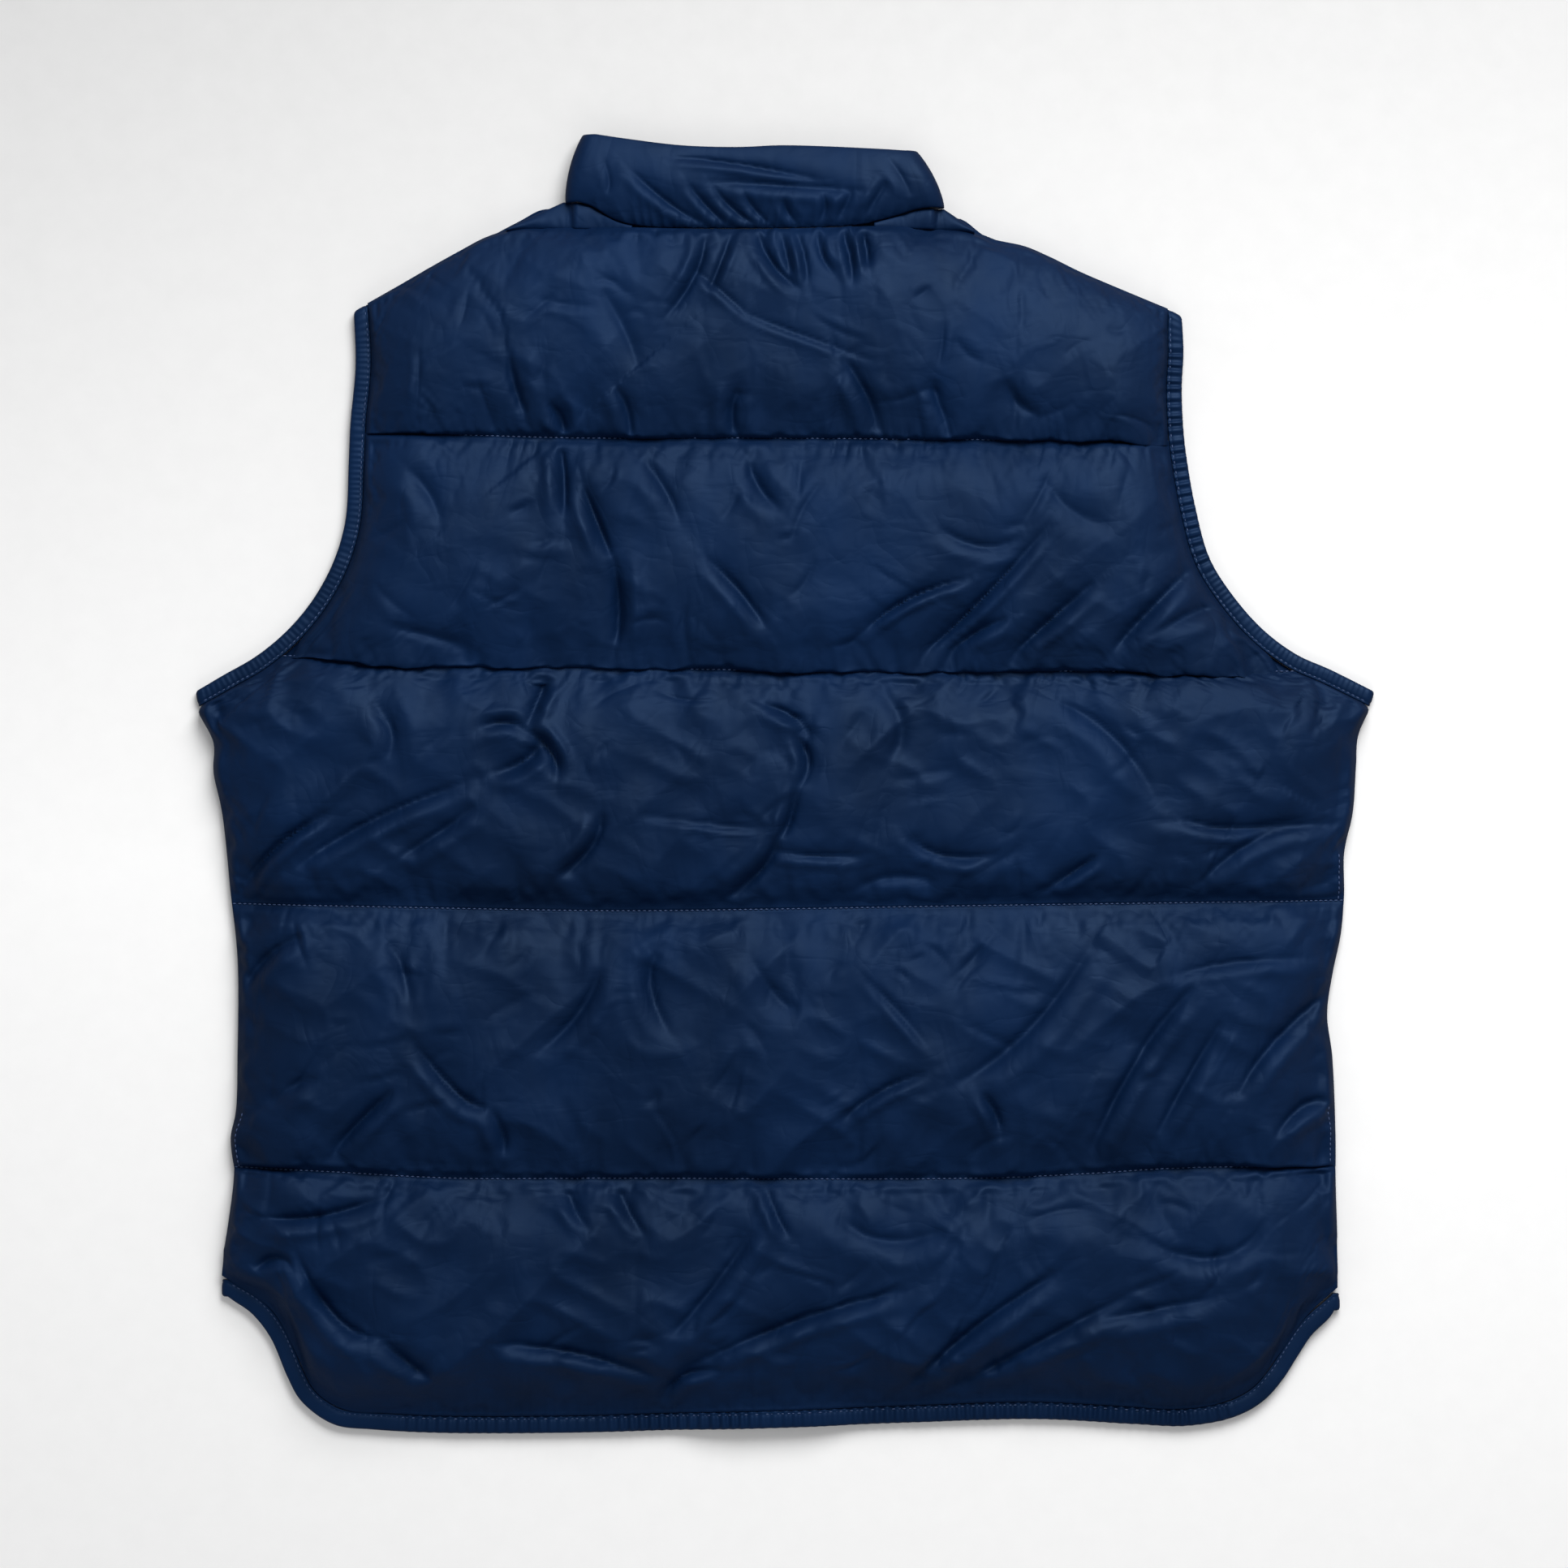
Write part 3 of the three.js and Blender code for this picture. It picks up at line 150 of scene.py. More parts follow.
# Creases pressed into the back: start, bend, end, width, depth and lean to one side.
CREASES = [
    # first channel, gathers from the collar seam
    (-46, 320, -52, 296, -70, 270, 4, 4, 0.3), (-30, 322, -38, 300, -44, 286, 3, 3, -0.2),
    (-16, 321, -6, 302, 8, 288, 4, 4, 0.2), (-2, 322, 2, 306, 4, 296, 3, 3, 0),
    (8, 320, 12, 306, 14, 290, 3, 3, 0.2), (20, 322, 22, 308, 30, 296, 3, 3, -0.2),
    (34, 321, 38, 308, 40, 292, 3, 3, 0), (46, 322, 48, 310, 49, 300, 3, 4, 0.3),
    (-53, 300, -34, 284, -22, 273, 2.5, 2, 0.4), (-24, 274, 6, 262, 52, 246, 2.5, 2, 0.5),
    (32, 250, 46, 230, 55, 208, 6, 4, 0.3), (-160, 250, -156, 230, -150, 214, 6, 3, -0.3),
    (-138, 222, -130, 214, -128, 206, 5, 4, 0), (-100, 232, -92, 220, -90, 207, 5, 3, 0.3),
    (-26, 230, -30, 218, -28, 206, 5, 3, 0), (86, 236, 90, 222, 98, 206, 5, 3, 0.3),
    (128, 236, 136, 222, 150, 214, 7, 3, -0.3), (-108, 292, -92, 262, -84, 240, 9, 3, 0.4),
    # second channel
    (-131, 197, -128, 178, -128, 154, 5, 5, 0.3), (-117, 174, -108, 150, -100, 132, 5, 6, 0.4),
    (-100, 132, -96, 106, -98, 80, 6, 6, -0.4), (-84, 190, -70, 172, -60, 150, 6, 3, 0.2),
    (-46, 132, -26, 112, -10, 90, 5, 4, 0.3), (-20, 188, -14, 172, 0, 158, 6, 3, 0),
    (47, 89, 74, 108, 107, 119, 3, 5, 0.6), (78, 74, 112, 104, 154, 150, 4, 5, 0.5),
    (88, 150, 116, 138, 140, 146, 5, 3, 0.2), (92, 74, 112, 88, 130, 96, 4, 4, 0.4),
    (130, 72, 156, 96, 182, 118, 5, 5, 0.4), (190, 76, 214, 102, 240, 128, 6, 5, 0.4),
    (-230, 92, -206, 86, -180, 78, 7, 3, 0.2), (206, 82, 240, 100, 262, 104, 6, 3, 0.2),
    (-220, 184, -206, 168, -200, 150, 8, 3, 0.3), (150, 180, 166, 160, 190, 150, 8, 2, 0),
    # third channel
    (-316, -60, -292, -34, -262, -16, 4, 5, 0.5), (-286, -50, -236, -20, -178, 2, 5, 5, 0.5),
    (-174, 4, -150, 14, -144, 24, 5, 5, 0.3), (-226, -44, -200, -28, -178, -12, 5, 4, 0.5),
    (-150, 32, -142, 52, -140, 58, 4, 4, 0.2), (-178, 32, -162, 36, -150, 31, 4, 4, 0),
    (-150, 31, -136, 20, -131, 4, 4, 5, -0.4), (-107, -16, -112, -36, -134, -56, 5, 5, 0.5),
    (-84, -18, -40, -24, -6, -26, 2.5, 2.5, 0.4), (4, 30, 14, 14, 8, -2, 4, 5, 0.4),
    (8, -2, 2, -24, -4, -30, 4, 5, 0.4), (-4, -30, -12, -48, -36, -68, 5, 5, 0.5),
    (-12, 46, 4, 40, 14, 30, 4, 4, 0.3), (-8, -39, 20, -42, 46, -42, 3, 3, 0.4),
    (158, 48, 190, 28, 216, -8, 7, 4, 0.4), (70, -30, 96, -42, 126, -40, 4, 3.5, 0.3),
    (230, -20, 262, -26, 302, -20, 4, 4, 0.4), (148, -64, 170, -50, 182, -42, 4, 4, 0.3),
    (244, -56, 280, -30, 320, -24, 5, 4, 0.4), (40, -62, 64, -54, 90, -58, 5, 3, 0.2),
    (-240, 50, -228, 30, -232, 14, 7, 3, 0), (60, 52, 68, 30, 58, 10, 8, 2.5, 0.3),
    # fourth channel
    (-316, -121, -300, -100, -278, -88, 5, 4, 0.4),
    (-264, -216, -244, -194, -226, -178, 5, 5, 0.5),
    (-216, -150, -190, -180, -172, -188, 5, 5, 0.5),
    (-172, -188, -164, -204, -164, -216, 5, 4, 0.3),
    (-145, -158, -118, -132, -107, -106, 6, 4, 0.5), (-73, -97, -78, -118, -66, -146, 6, 4, 0.4),
    (97, -176, 140, -146, 178, -96, 8, 5, 0.6), (33, -196, 58, -178, 84, -168, 3.5, 4, 0.5),
    (114, -180, 122, -190, 126, -204, 4, 4, 0.3), (46, -112, 66, -132, 84, -154, 3, 2, 0.3),
    (178, -216, 206, -160, 240, -116, 6, 5, 0.5), (216, -206, 236, -170, 256, -136, 5, 4, 0.5),
    (262, -184, 286, -150, 322, -120, 6, 5, 0.5), (226, -112, 262, -104, 306, -102, 4, 3, 0.4),
    (-232, -92, -222, -108, -218, -128, 7, 3, 0.2), (-20, -100, -4, -124, 10, -132, 7, 3, 0.3),
    (-300, -190, -286, -176, -270, -172, 6, 3, 0.3), (286, -206, 300, -190, 318, -184, 5, 4, 0.3),
    # fifth channel
    (-306, -252, -272, -252, -230, -240, 5, 5, 0.4),
    (-284, -272, -262, -310, -236, -322, 6, 6, 0.5),
    (-236, -322, -220, -336, -206, -346, 6, 5, 0.4), (-66, -322, -40, -292, -16, -258, 6, 5, 0.5),
    (-56, -340, 10, -312, 74, -294, 5, 5, 0.5), (-10, -236, -4, -252, 4, -264, 3.5, 3, 0.3),
    (-170, -326, -120, -332, -74, -346, 5, 5, 0.5), (-70, -364, -60, -346, -34, -342, 4, 5, 0.4),
    (68, -356, 118, -312, 160, -284, 6, 6, 0.5), (82, -362, 140, -330, 206, -294, 6, 5, 0.5),
    (182, -312, 214, -306, 254, -298, 6, 4, 0.4), (-126, -236, -122, -248, -114, -258, 4, 3, 0.3),
    (-96, -236, -90, -250, -80, -262, 4, 3, 0.3), (210, -264, 246, -276, 280, -262, 7, 4, 0.3),
    (-310, -284, -296, -276, -286, -282, 5, 4, 0.3), (30, -250, 60, -266, 96, -258, 7, 3, 0.2)]

# Creases of the collar
COLLAR_CREASES = [
    (-66, 365, -30, 362, 22, 352, 2.6, 3, 0.5), (-44, 351, 0, 349, 50, 345, 4, 3, 0.3),
    (-90, 358, -66, 338, -46, 327, 3.5, 3.5, 0.4), (-56, 350, -44, 336, -34, 327, 3, 3, 0.3),
    (-42, 349, -28, 334, -16, 327, 3, 3, 0.2), (-24, 345, -16, 334, -8, 327, 3, 2.5, 0.2),
    (0, 342, 2, 334, 8, 327, 3, 2.5, 0), (22, 344, 24, 336, 20, 328, 3, 2.5, 0),
    (40, 346, 36, 338, 30, 328, 3, 2.5, 0.2), (60, 352, 54, 342, 46, 330, 3, 2.5, 0.2),
    (-106, 366, -102, 352, -104, 344, 3, 2, 0.2), (60, 366, 70, 352, 74, 342, 4, 2.5, 0.3)]


def spline(rows, count=160):
    """Centripetal Catmull-Rom curve through the rows, cut into equal lengths."""
    p = np.asarray(rows, float)
    p = np.vstack([2 * p[0] - p[1], p, 2 * p[-1] - p[-2]])
    knot = np.sqrt(np.linalg.norm(np.diff(p, axis=0), axis=1))[:, None]
    before, here, after = knot[:-2], knot[1:-1], knot[2:]
    a, b, c, d = p[:-3], p[1:-2], p[2:-1], p[3:]
    start = ((b - a) / before - (c - a) / (before + here) + (c - b) / here) * here
    end = ((c - b) / here - (d - b) / (here + after) + (d - c) / after) * here
    t = np.linspace(0, 1, 40, endpoint=False)[None, :, None]
    b, c, start, end = (value[:, None] for value in (b, c, start, end))
    curve = (b + start * t + (3 * (c - b) - 2 * start - end) * t ** 2
             + (2 * (b - c) + start + end) * t ** 3)
    curve = np.vstack([curve.reshape(-1, p.shape[1]), p[-2]])
    return at_shares(curve, np.linspace(0, 1, count + 1))


def lengths(run):
    """Length along a run up to each of its points."""
    return np.concatenate([[0], np.cumsum(np.linalg.norm(np.diff(run, axis=0), axis=1))])


def at_shares(run, shares):
    """Points of a run at shares of its length."""
    at = lengths(run)
    return np.column_stack([np.interp(shares * at[-1], at, column) for column in run.T])


def y_at(run, x):
    """Y of a run at the given X."""
    order = np.argsort(run[:, 0])
    return np.interp(x, run[order, 0], run[order, 1])


def x_at(run, y):
    """X of a run at the given Y."""
    order = np.argsort(run[:, 1])
    return np.interp(y, run[order, 1], run[order, 0])


def mix(a, b, part):
    return a + (b - a) * part


def smooth(value):
    """Ease from 0 to 1 with level ends."""
    t = np.clip(value, 0, 1)
    return t * t * (3 - 2 * t)


def distance(points, run):
    """Distance of each point from the nearest segment of a run."""
    a, step = run[:-1], np.diff(run, axis=0)
    offset = points[..., None, :] - a
    part = np.clip((offset * step).sum(-1) / (step ** 2).sum(-1), 0, 1)
    return np.linalg.norm(offset - part[..., None] * step, axis=-1).min(-1)


def unit(vectors):
    return vectors / np.linalg.norm(vectors, axis=-1, keepdims=True)


def edge_strip(rows, width, inward, first_cut, last_cut, count):
    """Points of an edge and the direction across it, which turns from the piece's first cut to
    the edge's own normal and to its last cut."""
    edge = spline(rows, count)
    at = lengths(edge)
    tangent = unit(np.gradient(edge, axis=0))
    across = np.column_stack([-tangent[:, 1], tangent[:, 0]]) * inward
    first, last = unit(np.array(first_cut, float)), unit(np.array(last_cut, float))
    across = mix(across, first, 1 - smooth(at / CUT_BLEND)[:, None])
    across = unit(mix(across, last, 1 - smooth((at[-1] - at) / CUT_BLEND)[:, None]))
    return edge, across, at, edge + across * width


def strip_between_folds(rows, inward, first_cut, last_cut, count):
    """Edge of a strip, the direction across it and its lengths, without the ends that fold."""
    edge, across, at, _ = edge_strip(rows, 1, inward, first_cut, last_cut, count)
    kept = (at > FOLD_START) & (at < at[-1] - FOLD_START)
    return edge[kept], across[kept], at[kept]


def side_edge(rows, inward, side_name, side, hem_end):
    """Side of a panel from the shoulder along the armhole strip and down to the hem strip."""
    inner = edge_strip(rows, ARMHOLE_WIDTH + SEAM_GAP, inward, SHOULDER_CUT[side_name],
                       SIDE_CUT[side_name], 160)[3]
    below = [row for row in side if hem_end[1] + 2 < row[1] < inner[-1, 1] - 2]
    return np.vstack([inner, spline(below), hem_end])


HEM_INNER = edge_strip(HEM, HEM_WIDTH + SEAM_GAP, 1, HEM_CUT, HEM_CUT, 160)[3]
EDGE_LEFT = side_edge(ARMHOLE_LEFT, 1, "left", SIDE_LEFT, HEM_INNER[0])
EDGE_RIGHT = side_edge(ARMHOLE_RIGHT, -1, "right", SIDE_RIGHT, HEM_INNER[-1])
OUTLINE = [
    spline([SHOULDER_RIGHT[-1]] + ARMHOLE_RIGHT + SIDE_RIGHT, 60),
    spline([SHOULDER_LEFT[0]] + ARMHOLE_LEFT + SIDE_LEFT, 60),
    spline(SHOULDER_LEFT, 24), spline(SHOULDER_RIGHT, 24), spline(HEM, 60)]


def edge_height(x):
    """Height of the join of front and back at the outline. It rises over the lap."""
    return mix(LAP_STACK, EDGE_WALL, smooth((np.abs(x - CENTRE_X) - LAP_HALF - 2) / LAP_BLEND))


def layer_height(points):
    """Height of the join of front and back, from the outline up to the loft of the front."""
    away = np.min([distance(points, run) for run in OUTLINE], axis=0)
    return mix(edge_height(points[..., 0]), FRONT_LOFT, smooth(away / EDGE_ROLL))


def neckline_y(x):
    """Front neckline: a power curve from the centre up to each side neck point."""
    reach = np.where(x < CENTRE_X, (x - CENTRE_X) / (SHOULDER_LEFT[-1][0] - CENTRE_X),
                     (x - CENTRE_X) / (SHOULDER_RIGHT[0][0] - CENTRE_X))
    top = np.where(x < CENTRE_X, SHOULDER_LEFT[-1][1], SHOULDER_RIGHT[0][1])
    return mix(NECK_DROP_Y, top, np.clip(reach, 0, 1) ** NECK_CURVE)


def coons(bottom, top, left, right, us, vs):
    """Patch between four runs: the two blends of opposite runs, less the blend of the corners."""
    u, v = us[None, :, None], vs[:, None, None]
    across = mix(bottom[None], top[None], v)
    up = mix(left[:, None], right[:, None], u)
    corners = mix(mix(bottom[0], bottom[-1], u), mix(top[0], top[-1], u), v)
    return across + up - corners


def even_to_ends(count, crowding):
    """Shares from 0 to 1, closer together at both ends by the crowding."""
    t = np.linspace(0, 1, count + 1)
    return mix(t, (1 - np.cos(np.pi * t)) / 2, crowding)


def across_run(rows, start, end, us):
    """Run between two side points at even steps of X."""
    inner = [row for row in rows if start[0] + 2 < row[0] < end[0] - 2]
    run = spline([tuple(start)] + inner + [tuple(end)])
    x = mix(start[0], end[0], us)
    return np.column_stack([x, y_at(run, x)])


def body_plan(left, right, top_rows, columns, rows):
    """Grid of the body between two side edges: five channels from the hem to the top seam, with
    each row's place up its channel."""
    us = even_to_ends(columns, 0.2)
    vs = even_to_ends(rows, 0.3)
    ends = [(left[-1], right[-1])]
    for line in QUILT_LINES[::-1]:
        run = spline(line)
        left_y = line[0][1] if left is EDGE_LEFT else y_at(run, left[:, 0].mean())
        right_y = line[-1][1] if right is EDGE_RIGHT else y_at(run, right[:, 0].mean())
        ends.append(((x_at(left, left_y), left_y), (x_at(right, right_y), right_y)))
    ends.append((left[0], right[0]))
    seams = [HEM_INNER] + [spline(line) for line in QUILT_LINES[::-1]] + [top_rows]
    runs = [across_run([tuple(p) for p in seam[::6]], start, end, us)
            for seam, (start, end) in zip(seams, ends)]
    blocks = []
    for k in range(5):
        sides = []
        for edge, end in ((left, 0), (right, 1)):
            low, high = ends[k][end][1], ends[k + 1][end][1]
            inner = edge[(edge[:, 1] > low + 0.01) & (edge[:, 1] < high - 0.01)][::-1]
            sides.append(at_shares(np.vstack([ends[k][end], inner, ends[k + 1][end]]), vs))
        block = coons(runs[k], runs[k + 1], sides[0], sides[1], us, vs)
        blocks.append(block if k == 0 else block[1:])
    up = np.concatenate([vs] + [vs[1:]] * 4)
    return np.vstack(blocks), up


def lattice_noise(points, size, seed):
    """Soft noise from -1 to 1: random values on a square lattice, eased between its corners."""
    table = np.random.default_rng(seed).uniform(-1, 1, (64, 64))
    p = points / np.array(size, float) + 1000
    cell = np.floor(p).astype(int)
    t = p - cell
    t = t * t * (3 - 2 * t)
    x, y = cell[..., 0] % 63, cell[..., 1] % 63
    low = mix(table[y, x], table[y, x + 1], t[..., 0])
    high = mix(table[y + 1, x], table[y + 1, x + 1], t[..., 0])
    return mix(low, high, t[..., 1])


def line_noise(at, size, seed, row=0):
    """The same noise along one line of the lattice."""
    return lattice_noise(np.stack([at, 0 * at + row], -1), size, seed)


def turned(points, angle):
    """Plan coordinates along and across a direction."""
    c, s = math.cos(angle), math.sin(angle)
    x, y = points[..., 0], points[..., 1]
    return np.stack([c * x + s * y, c * y - s * x], -1)


def pinches(at, away, row, start, wave, bunch, reach):
    """Depth of the short folds that a seam pinches into the cloth, between 0 and 1.2. They start
    beside the seam and are clustered along it. The wave has its beat and sway, the bunches their
    level and least depth, the reach its least length and spread, and each has the size and the
    seed of its noise."""
    fold = 1 - np.abs(np.sin(at * wave[0] + wave[1] * line_noise(at, *wave[2:], row)))
    cluster = np.clip(bunch[0] + 0.9 * line_noise(at, *bunch[2:], row), bunch[1], 1.2)
    length = reach[0] + reach[1] * np.clip(line_noise(at, *reach[2:], row), 0, 1)
    return cluster * fold ** 2 * np.clip(away / start, 0, 1) * np.exp(-away / length)


def crease_depth(points, creases):
    """Depth of bent creases: steep on one side beside a low ridge, a long ramp on the other, and
    fading to both ends."""
    depth = np.zeros(points.shape[:-1])
    for x0, y0, xm, ym, x1, y1, width, deep, lean in creases:
        reach = 7 * width
        low = np.array([min(x0, xm, x1), min(y0, ym, y1)]) - reach
        high = np.array([max(x0, xm, x1), max(y0, ym, y1)]) + reach
        near = ((points > low) & (points < high)).all(-1)
        if not near.any():
            continue
        t = np.linspace(0, 1, 15)[:, None]
        through = 2 * np.array([xm, ym]) - 0.5 * np.array([x0 + x1, y0 + y1])
        run = ((1 - t) ** 2 * np.array([x0, y0]) + 2 * t * (1 - t) * through
               + t ** 2 * np.array([x1, y1]))
        a, step = run[:-1], np.diff(run, axis=0)
        offset = points[near][:, None] - a
        part = np.clip((offset * step).sum(-1) / (step ** 2).sum(-1), 0, 1)
        gap = offset - part[..., None] * step
        away = np.linalg.norm(gap, axis=-1)
        best = away.argmin(1)
        pick = np.arange(len(best))
        side = np.sign(step[best, 0] * gap[pick, best, 1] - step[best, 1] * gap[pick, best, 0])
        along = (best + part[pick, best]) / len(a)
        signed = side * away[pick, best] / (0.78 * width)
        ramp = signed * (1 if lean >= 0 else -1) > 0
        soft_side = np.where(ramp, 1 + 3 * abs(lean), 1 - 0.7 * abs(lean))
        trough = (0.85 * np.exp(-(np.abs(signed) / soft_side) ** 1.1)
                  + 0.35 * np.exp(-(1.7 * signed) ** 2))
        ridge = 0.35 * np.exp(-(np.abs(signed) - 2.2) ** 2) * (soft_side <= 1)
        fade = np.sin(np.pi * np.clip(along, 0.02, 0.98)) ** 0.7
        depth[near] += deep * fade * (trough - ridge)
    return depth


def small_creases(count):
    """Seeded short creases scattered over the back, most of them slanting up to the right."""
    rng = np.random.default_rng(17)
    x, y = rng.uniform(-310, 310, count), rng.uniform(-360, 300, count)
    angle = rng.normal(0.7, 0.8, count)
    reach, bend = rng.uniform(5, 20, count), rng.uniform(-4, 4, count)
    dx, dy = np.cos(angle) * reach, np.sin(angle) * reach
    width, depth = rng.uniform(1.8, 4.2, count), rng.uniform(0.5, 2.4, count)
    lean = rng.uniform(-0.8, 0.8, count)
    rows = np.stack([x - dx, y - dy, x - dy * bend / reach, y + dx * bend / reach, x + dx, y + dy,
                     width, depth, lean], -1)
    return [tuple(row) for row in rows]


def make_mesh(name, points, polygons):
    """Mesh from points in millimetres and a list of arrays of equal-sided faces."""
    mesh = bpy.data.meshes.new(name)
    mesh.vertices.add(len(points))
    mesh.vertices.foreach_set("co", (np.asarray(points) * MM).astype(np.float32).ravel())
    corners = np.concatenate([faces.ravel() for faces in polygons])
    sizes = np.concatenate([np.full(len(faces), faces.shape[1]) for faces in polygons])
    mesh.loops.add(len(corners))
    mesh.loops.foreach_set("vertex_index", corners.astype(np.int32))
    mesh.polygons.add(len(sizes))
    mesh.polygons.foreach_set("loop_start", (np.cumsum(sizes) - sizes).astype(np.int32))
    mesh.update(calc_edges=True)
    mesh.validate()
    mesh.shade_smooth()
    piece = bpy.data.objects.new(name, mesh)
    bpy.context.scene.collection.objects.link(piece)
    return piece


def grid_quads(ids):
    """Quads of a grid of point numbers, facing up where columns run to +X and rows to +Y."""
    return np.stack([ids[:-1, :-1], ids[:-1, 1:], ids[1:, 1:], ids[1:, :-1]], -1).reshape(-1, 4)


def ring_quads(low, high):
    """Quads between closed rings of point numbers and the rings beside them."""
    return np.stack([low, np.roll(low, -1, -1), np.roll(high, -1, -1), high], -1).reshape(-1, 4)


def side_triangles(fine, coarse, stride):
    """Triangles between a finely divided edge and a coarse one beside it."""
    steps = np.arange(len(fine) - 1)
    beside = np.clip(np.round((steps + 0.5) / stride).astype(int), 1, len(coarse)) - 1
    fans = np.stack([fine[:-1], fine[1:], coarse[beside]], -1)
    turn = np.flatnonzero(np.diff(beside)) + 1
    corners = np.stack([fine[turn], coarse[beside[turn]], coarse[beside[turn - 1]]], -1)
    return np.vstack([fans, corners])


def wall(fine, plain_z, stride, fine_on_top=True):
    """Closed wall between a finely shaped face and a plain face over the same plan. The plain
    face keeps every point of its rim and each stride-th point inside it."""
    rows, columns = fine.shape[:2]
    fine_ids = np.arange(rows * columns).reshape(rows, columns)
    keep = np.zeros((rows, columns), bool)
    keep[[0, -1]] = True
    keep[:, [0, -1]] = True
    keep[stride:-stride:stride, stride:-stride:stride] = True
    plain_ids = np.full((rows, columns), -1)
    plain_ids[keep] = rows * columns + np.arange(keep.sum())
    plain = np.concatenate([fine[..., :2], plain_z[..., None]], -1)[keep]
    rims = [(np.s_[0, :], np.s_[stride, stride:-stride:stride]),
            (np.s_[:, -1], np.s_[stride:-stride:stride, -stride - 1]),
            (np.s_[-1, ::-1], np.s_[-stride - 1, stride:-stride:stride]),
            (np.s_[::-1, 0], np.s_[stride:-stride:stride, stride])]
    triangles, sides = [], []
    for number, (outer, inner) in enumerate(rims):
        edge, ring = plain_ids[outer], plain_ids[inner]
        ring = ring if number < 2 else ring[::-1]
        triangles.append(side_triangles(edge, ring, stride))
        high = fine_ids[outer]
        sides.append(np.stack([edge[:-1], edge[1:], high[1:], high[:-1]], -1))
    up = grid_quads(fine_ids)
    down = grid_quads(plain_ids[stride:-stride:stride, stride:-stride:stride])
    triangles = np.vstack(triangles)
    sides = np.vstack(sides)
    points = np.vstack([fine.reshape(-1, 3), plain])
    if fine_on_top:
        return points, [up, sides, down[:, ::-1], triangles[:, ::-1]]
    return points, [up[:, ::-1], sides[:, ::-1], down, triangles]


def band(outer, inner, closed=False):
    """Closed band through stations, each a row of outer points and a row of inner points."""
    stations, count = outer.shape[:2]
    loop = np.concatenate([outer, inner[:, ::-1]], 1)
    ids = np.arange(stations * 2 * count).reshape(stations, 2 * count)
    here, ahead = (ids, np.roll(ids, -1, 0)) if closed else (ids[:-1], ids[1:])
    faces = [ring_quads(here, ahead)]
    if not closed:
        for row, way in ((ids[0], -1), (ids[-1], 1)):
            a, b = row[:count], row[count:][::-1]
            faces.append(np.stack([a[:-1], a[1:], b[1:], b[:-1]], -1)[:, ::way])
    points = loop.reshape(-1, 3)
    volume = np.einsum("ij,ij->i", points[faces[0][:, 0]],
                       np.cross(points[faces[0][:, 1]], points[faces[0][:, 2]])).sum()
    return points, faces if volume > 0 else [f[:, ::-1] for f in faces]


def refine(grid, axis):
    """Grid with each step divided more finely, on the cubic through the four nearest points."""
    g = np.moveaxis(grid, axis, 0)
    padded = np.concatenate([2 * g[:1] - g[1:2], g, 2 * g[-1:] - g[-2:-1]])
    count = len(g) - 1
    out = np.empty((FINER * count + 1,) + g.shape[1:])
    for k in range(FINER):
        t = k / FINER
        weights = (-t / 2 + t * t - t ** 3 / 2, 1 - 2.5 * t * t + 1.5 * t ** 3,
                   t / 2 + 2 * t * t - 1.5 * t ** 3, (t ** 3 - t * t) / 2)
        out[k:-1:FINER] = sum(w * padded[j:j + count] for j, w in enumerate(weights))
    out[-1] = g[-1]
    return np.moveaxis(out, 0, axis)


def finer(grid):
    """Grid refined along its rows and its columns."""
    return refine(refine(grid, 0), 1)


def swell(points, pinned, slack, frames):
    """Cloth held where it is pinned and blown up from below, longer than its form by the slack."""
    rows, columns = points.shape[:2]
    ids = np.arange(rows * columns).reshape(rows, columns)
    piece = make_mesh("swelling", points.reshape(-1, 3), [grid_quads(ids)])
    group = piece.vertex_groups.new(name="pinned")
    group.add(np.flatnonzero(pinned.ravel()).tolist(), 1.0, "REPLACE")
    cloth = piece.modifiers.new("Cloth", "CLOTH")
    for key, value in (
            ("quality", 5), ("mass", 0.3), ("tension_stiffness", 30), ("compression_stiffness", 30),
            ("shear_stiffness", 8), ("bending_stiffness", 0.15), ("vertex_group_mass", "pinned"),
            ("shrink_min", -slack), ("use_pressure", True), ("uniform_pressure_force", 4.0)):
        setattr(cloth.settings, key, value)
    cloth.settings.effector_weights.gravity = 0
    cloth.collision_settings.use_collision = False
    cloth.point_cache.frame_start = 1
    cloth.point_cache.frame_end = frames
    scene = bpy.context.scene
    for number in range(1, frames + 1):
        scene.frame_set(number)
    graph = bpy.context.evaluated_depsgraph_get()
    result = np.empty(rows * columns * 3, np.float32)
    piece.evaluated_get(graph).data.vertices.foreach_get("co", result)
    scene.frame_set(1)
    bpy.data.objects.remove(piece)
    moved = result.reshape(rows, columns, 3) / MM - points
    far = np.linalg.norm(moved, axis=-1, keepdims=True)
    return points + moved * np.minimum(1, MOST_SWELL / np.maximum(far, 1e-6))


class Value:
    """A shader number; arithmetic on it adds Math nodes."""

    def __init__(self, finish, socket):
        self.finish, self.socket = finish, socket

    def math(self, operation, *others):
        inputs = dict(enumerate((self,) + others))
        return self.finish.node("ShaderNodeMath", {"operation": operation}, inputs, 0)

    def __add__(self, other): return self.math("ADD", other)
    def __mul__(self, other): return self.math("MULTIPLY", other)
    def __sub__(self, other): return self.math("SUBTRACT", other)
    def __abs__(self): return self.math("ABSOLUTE")


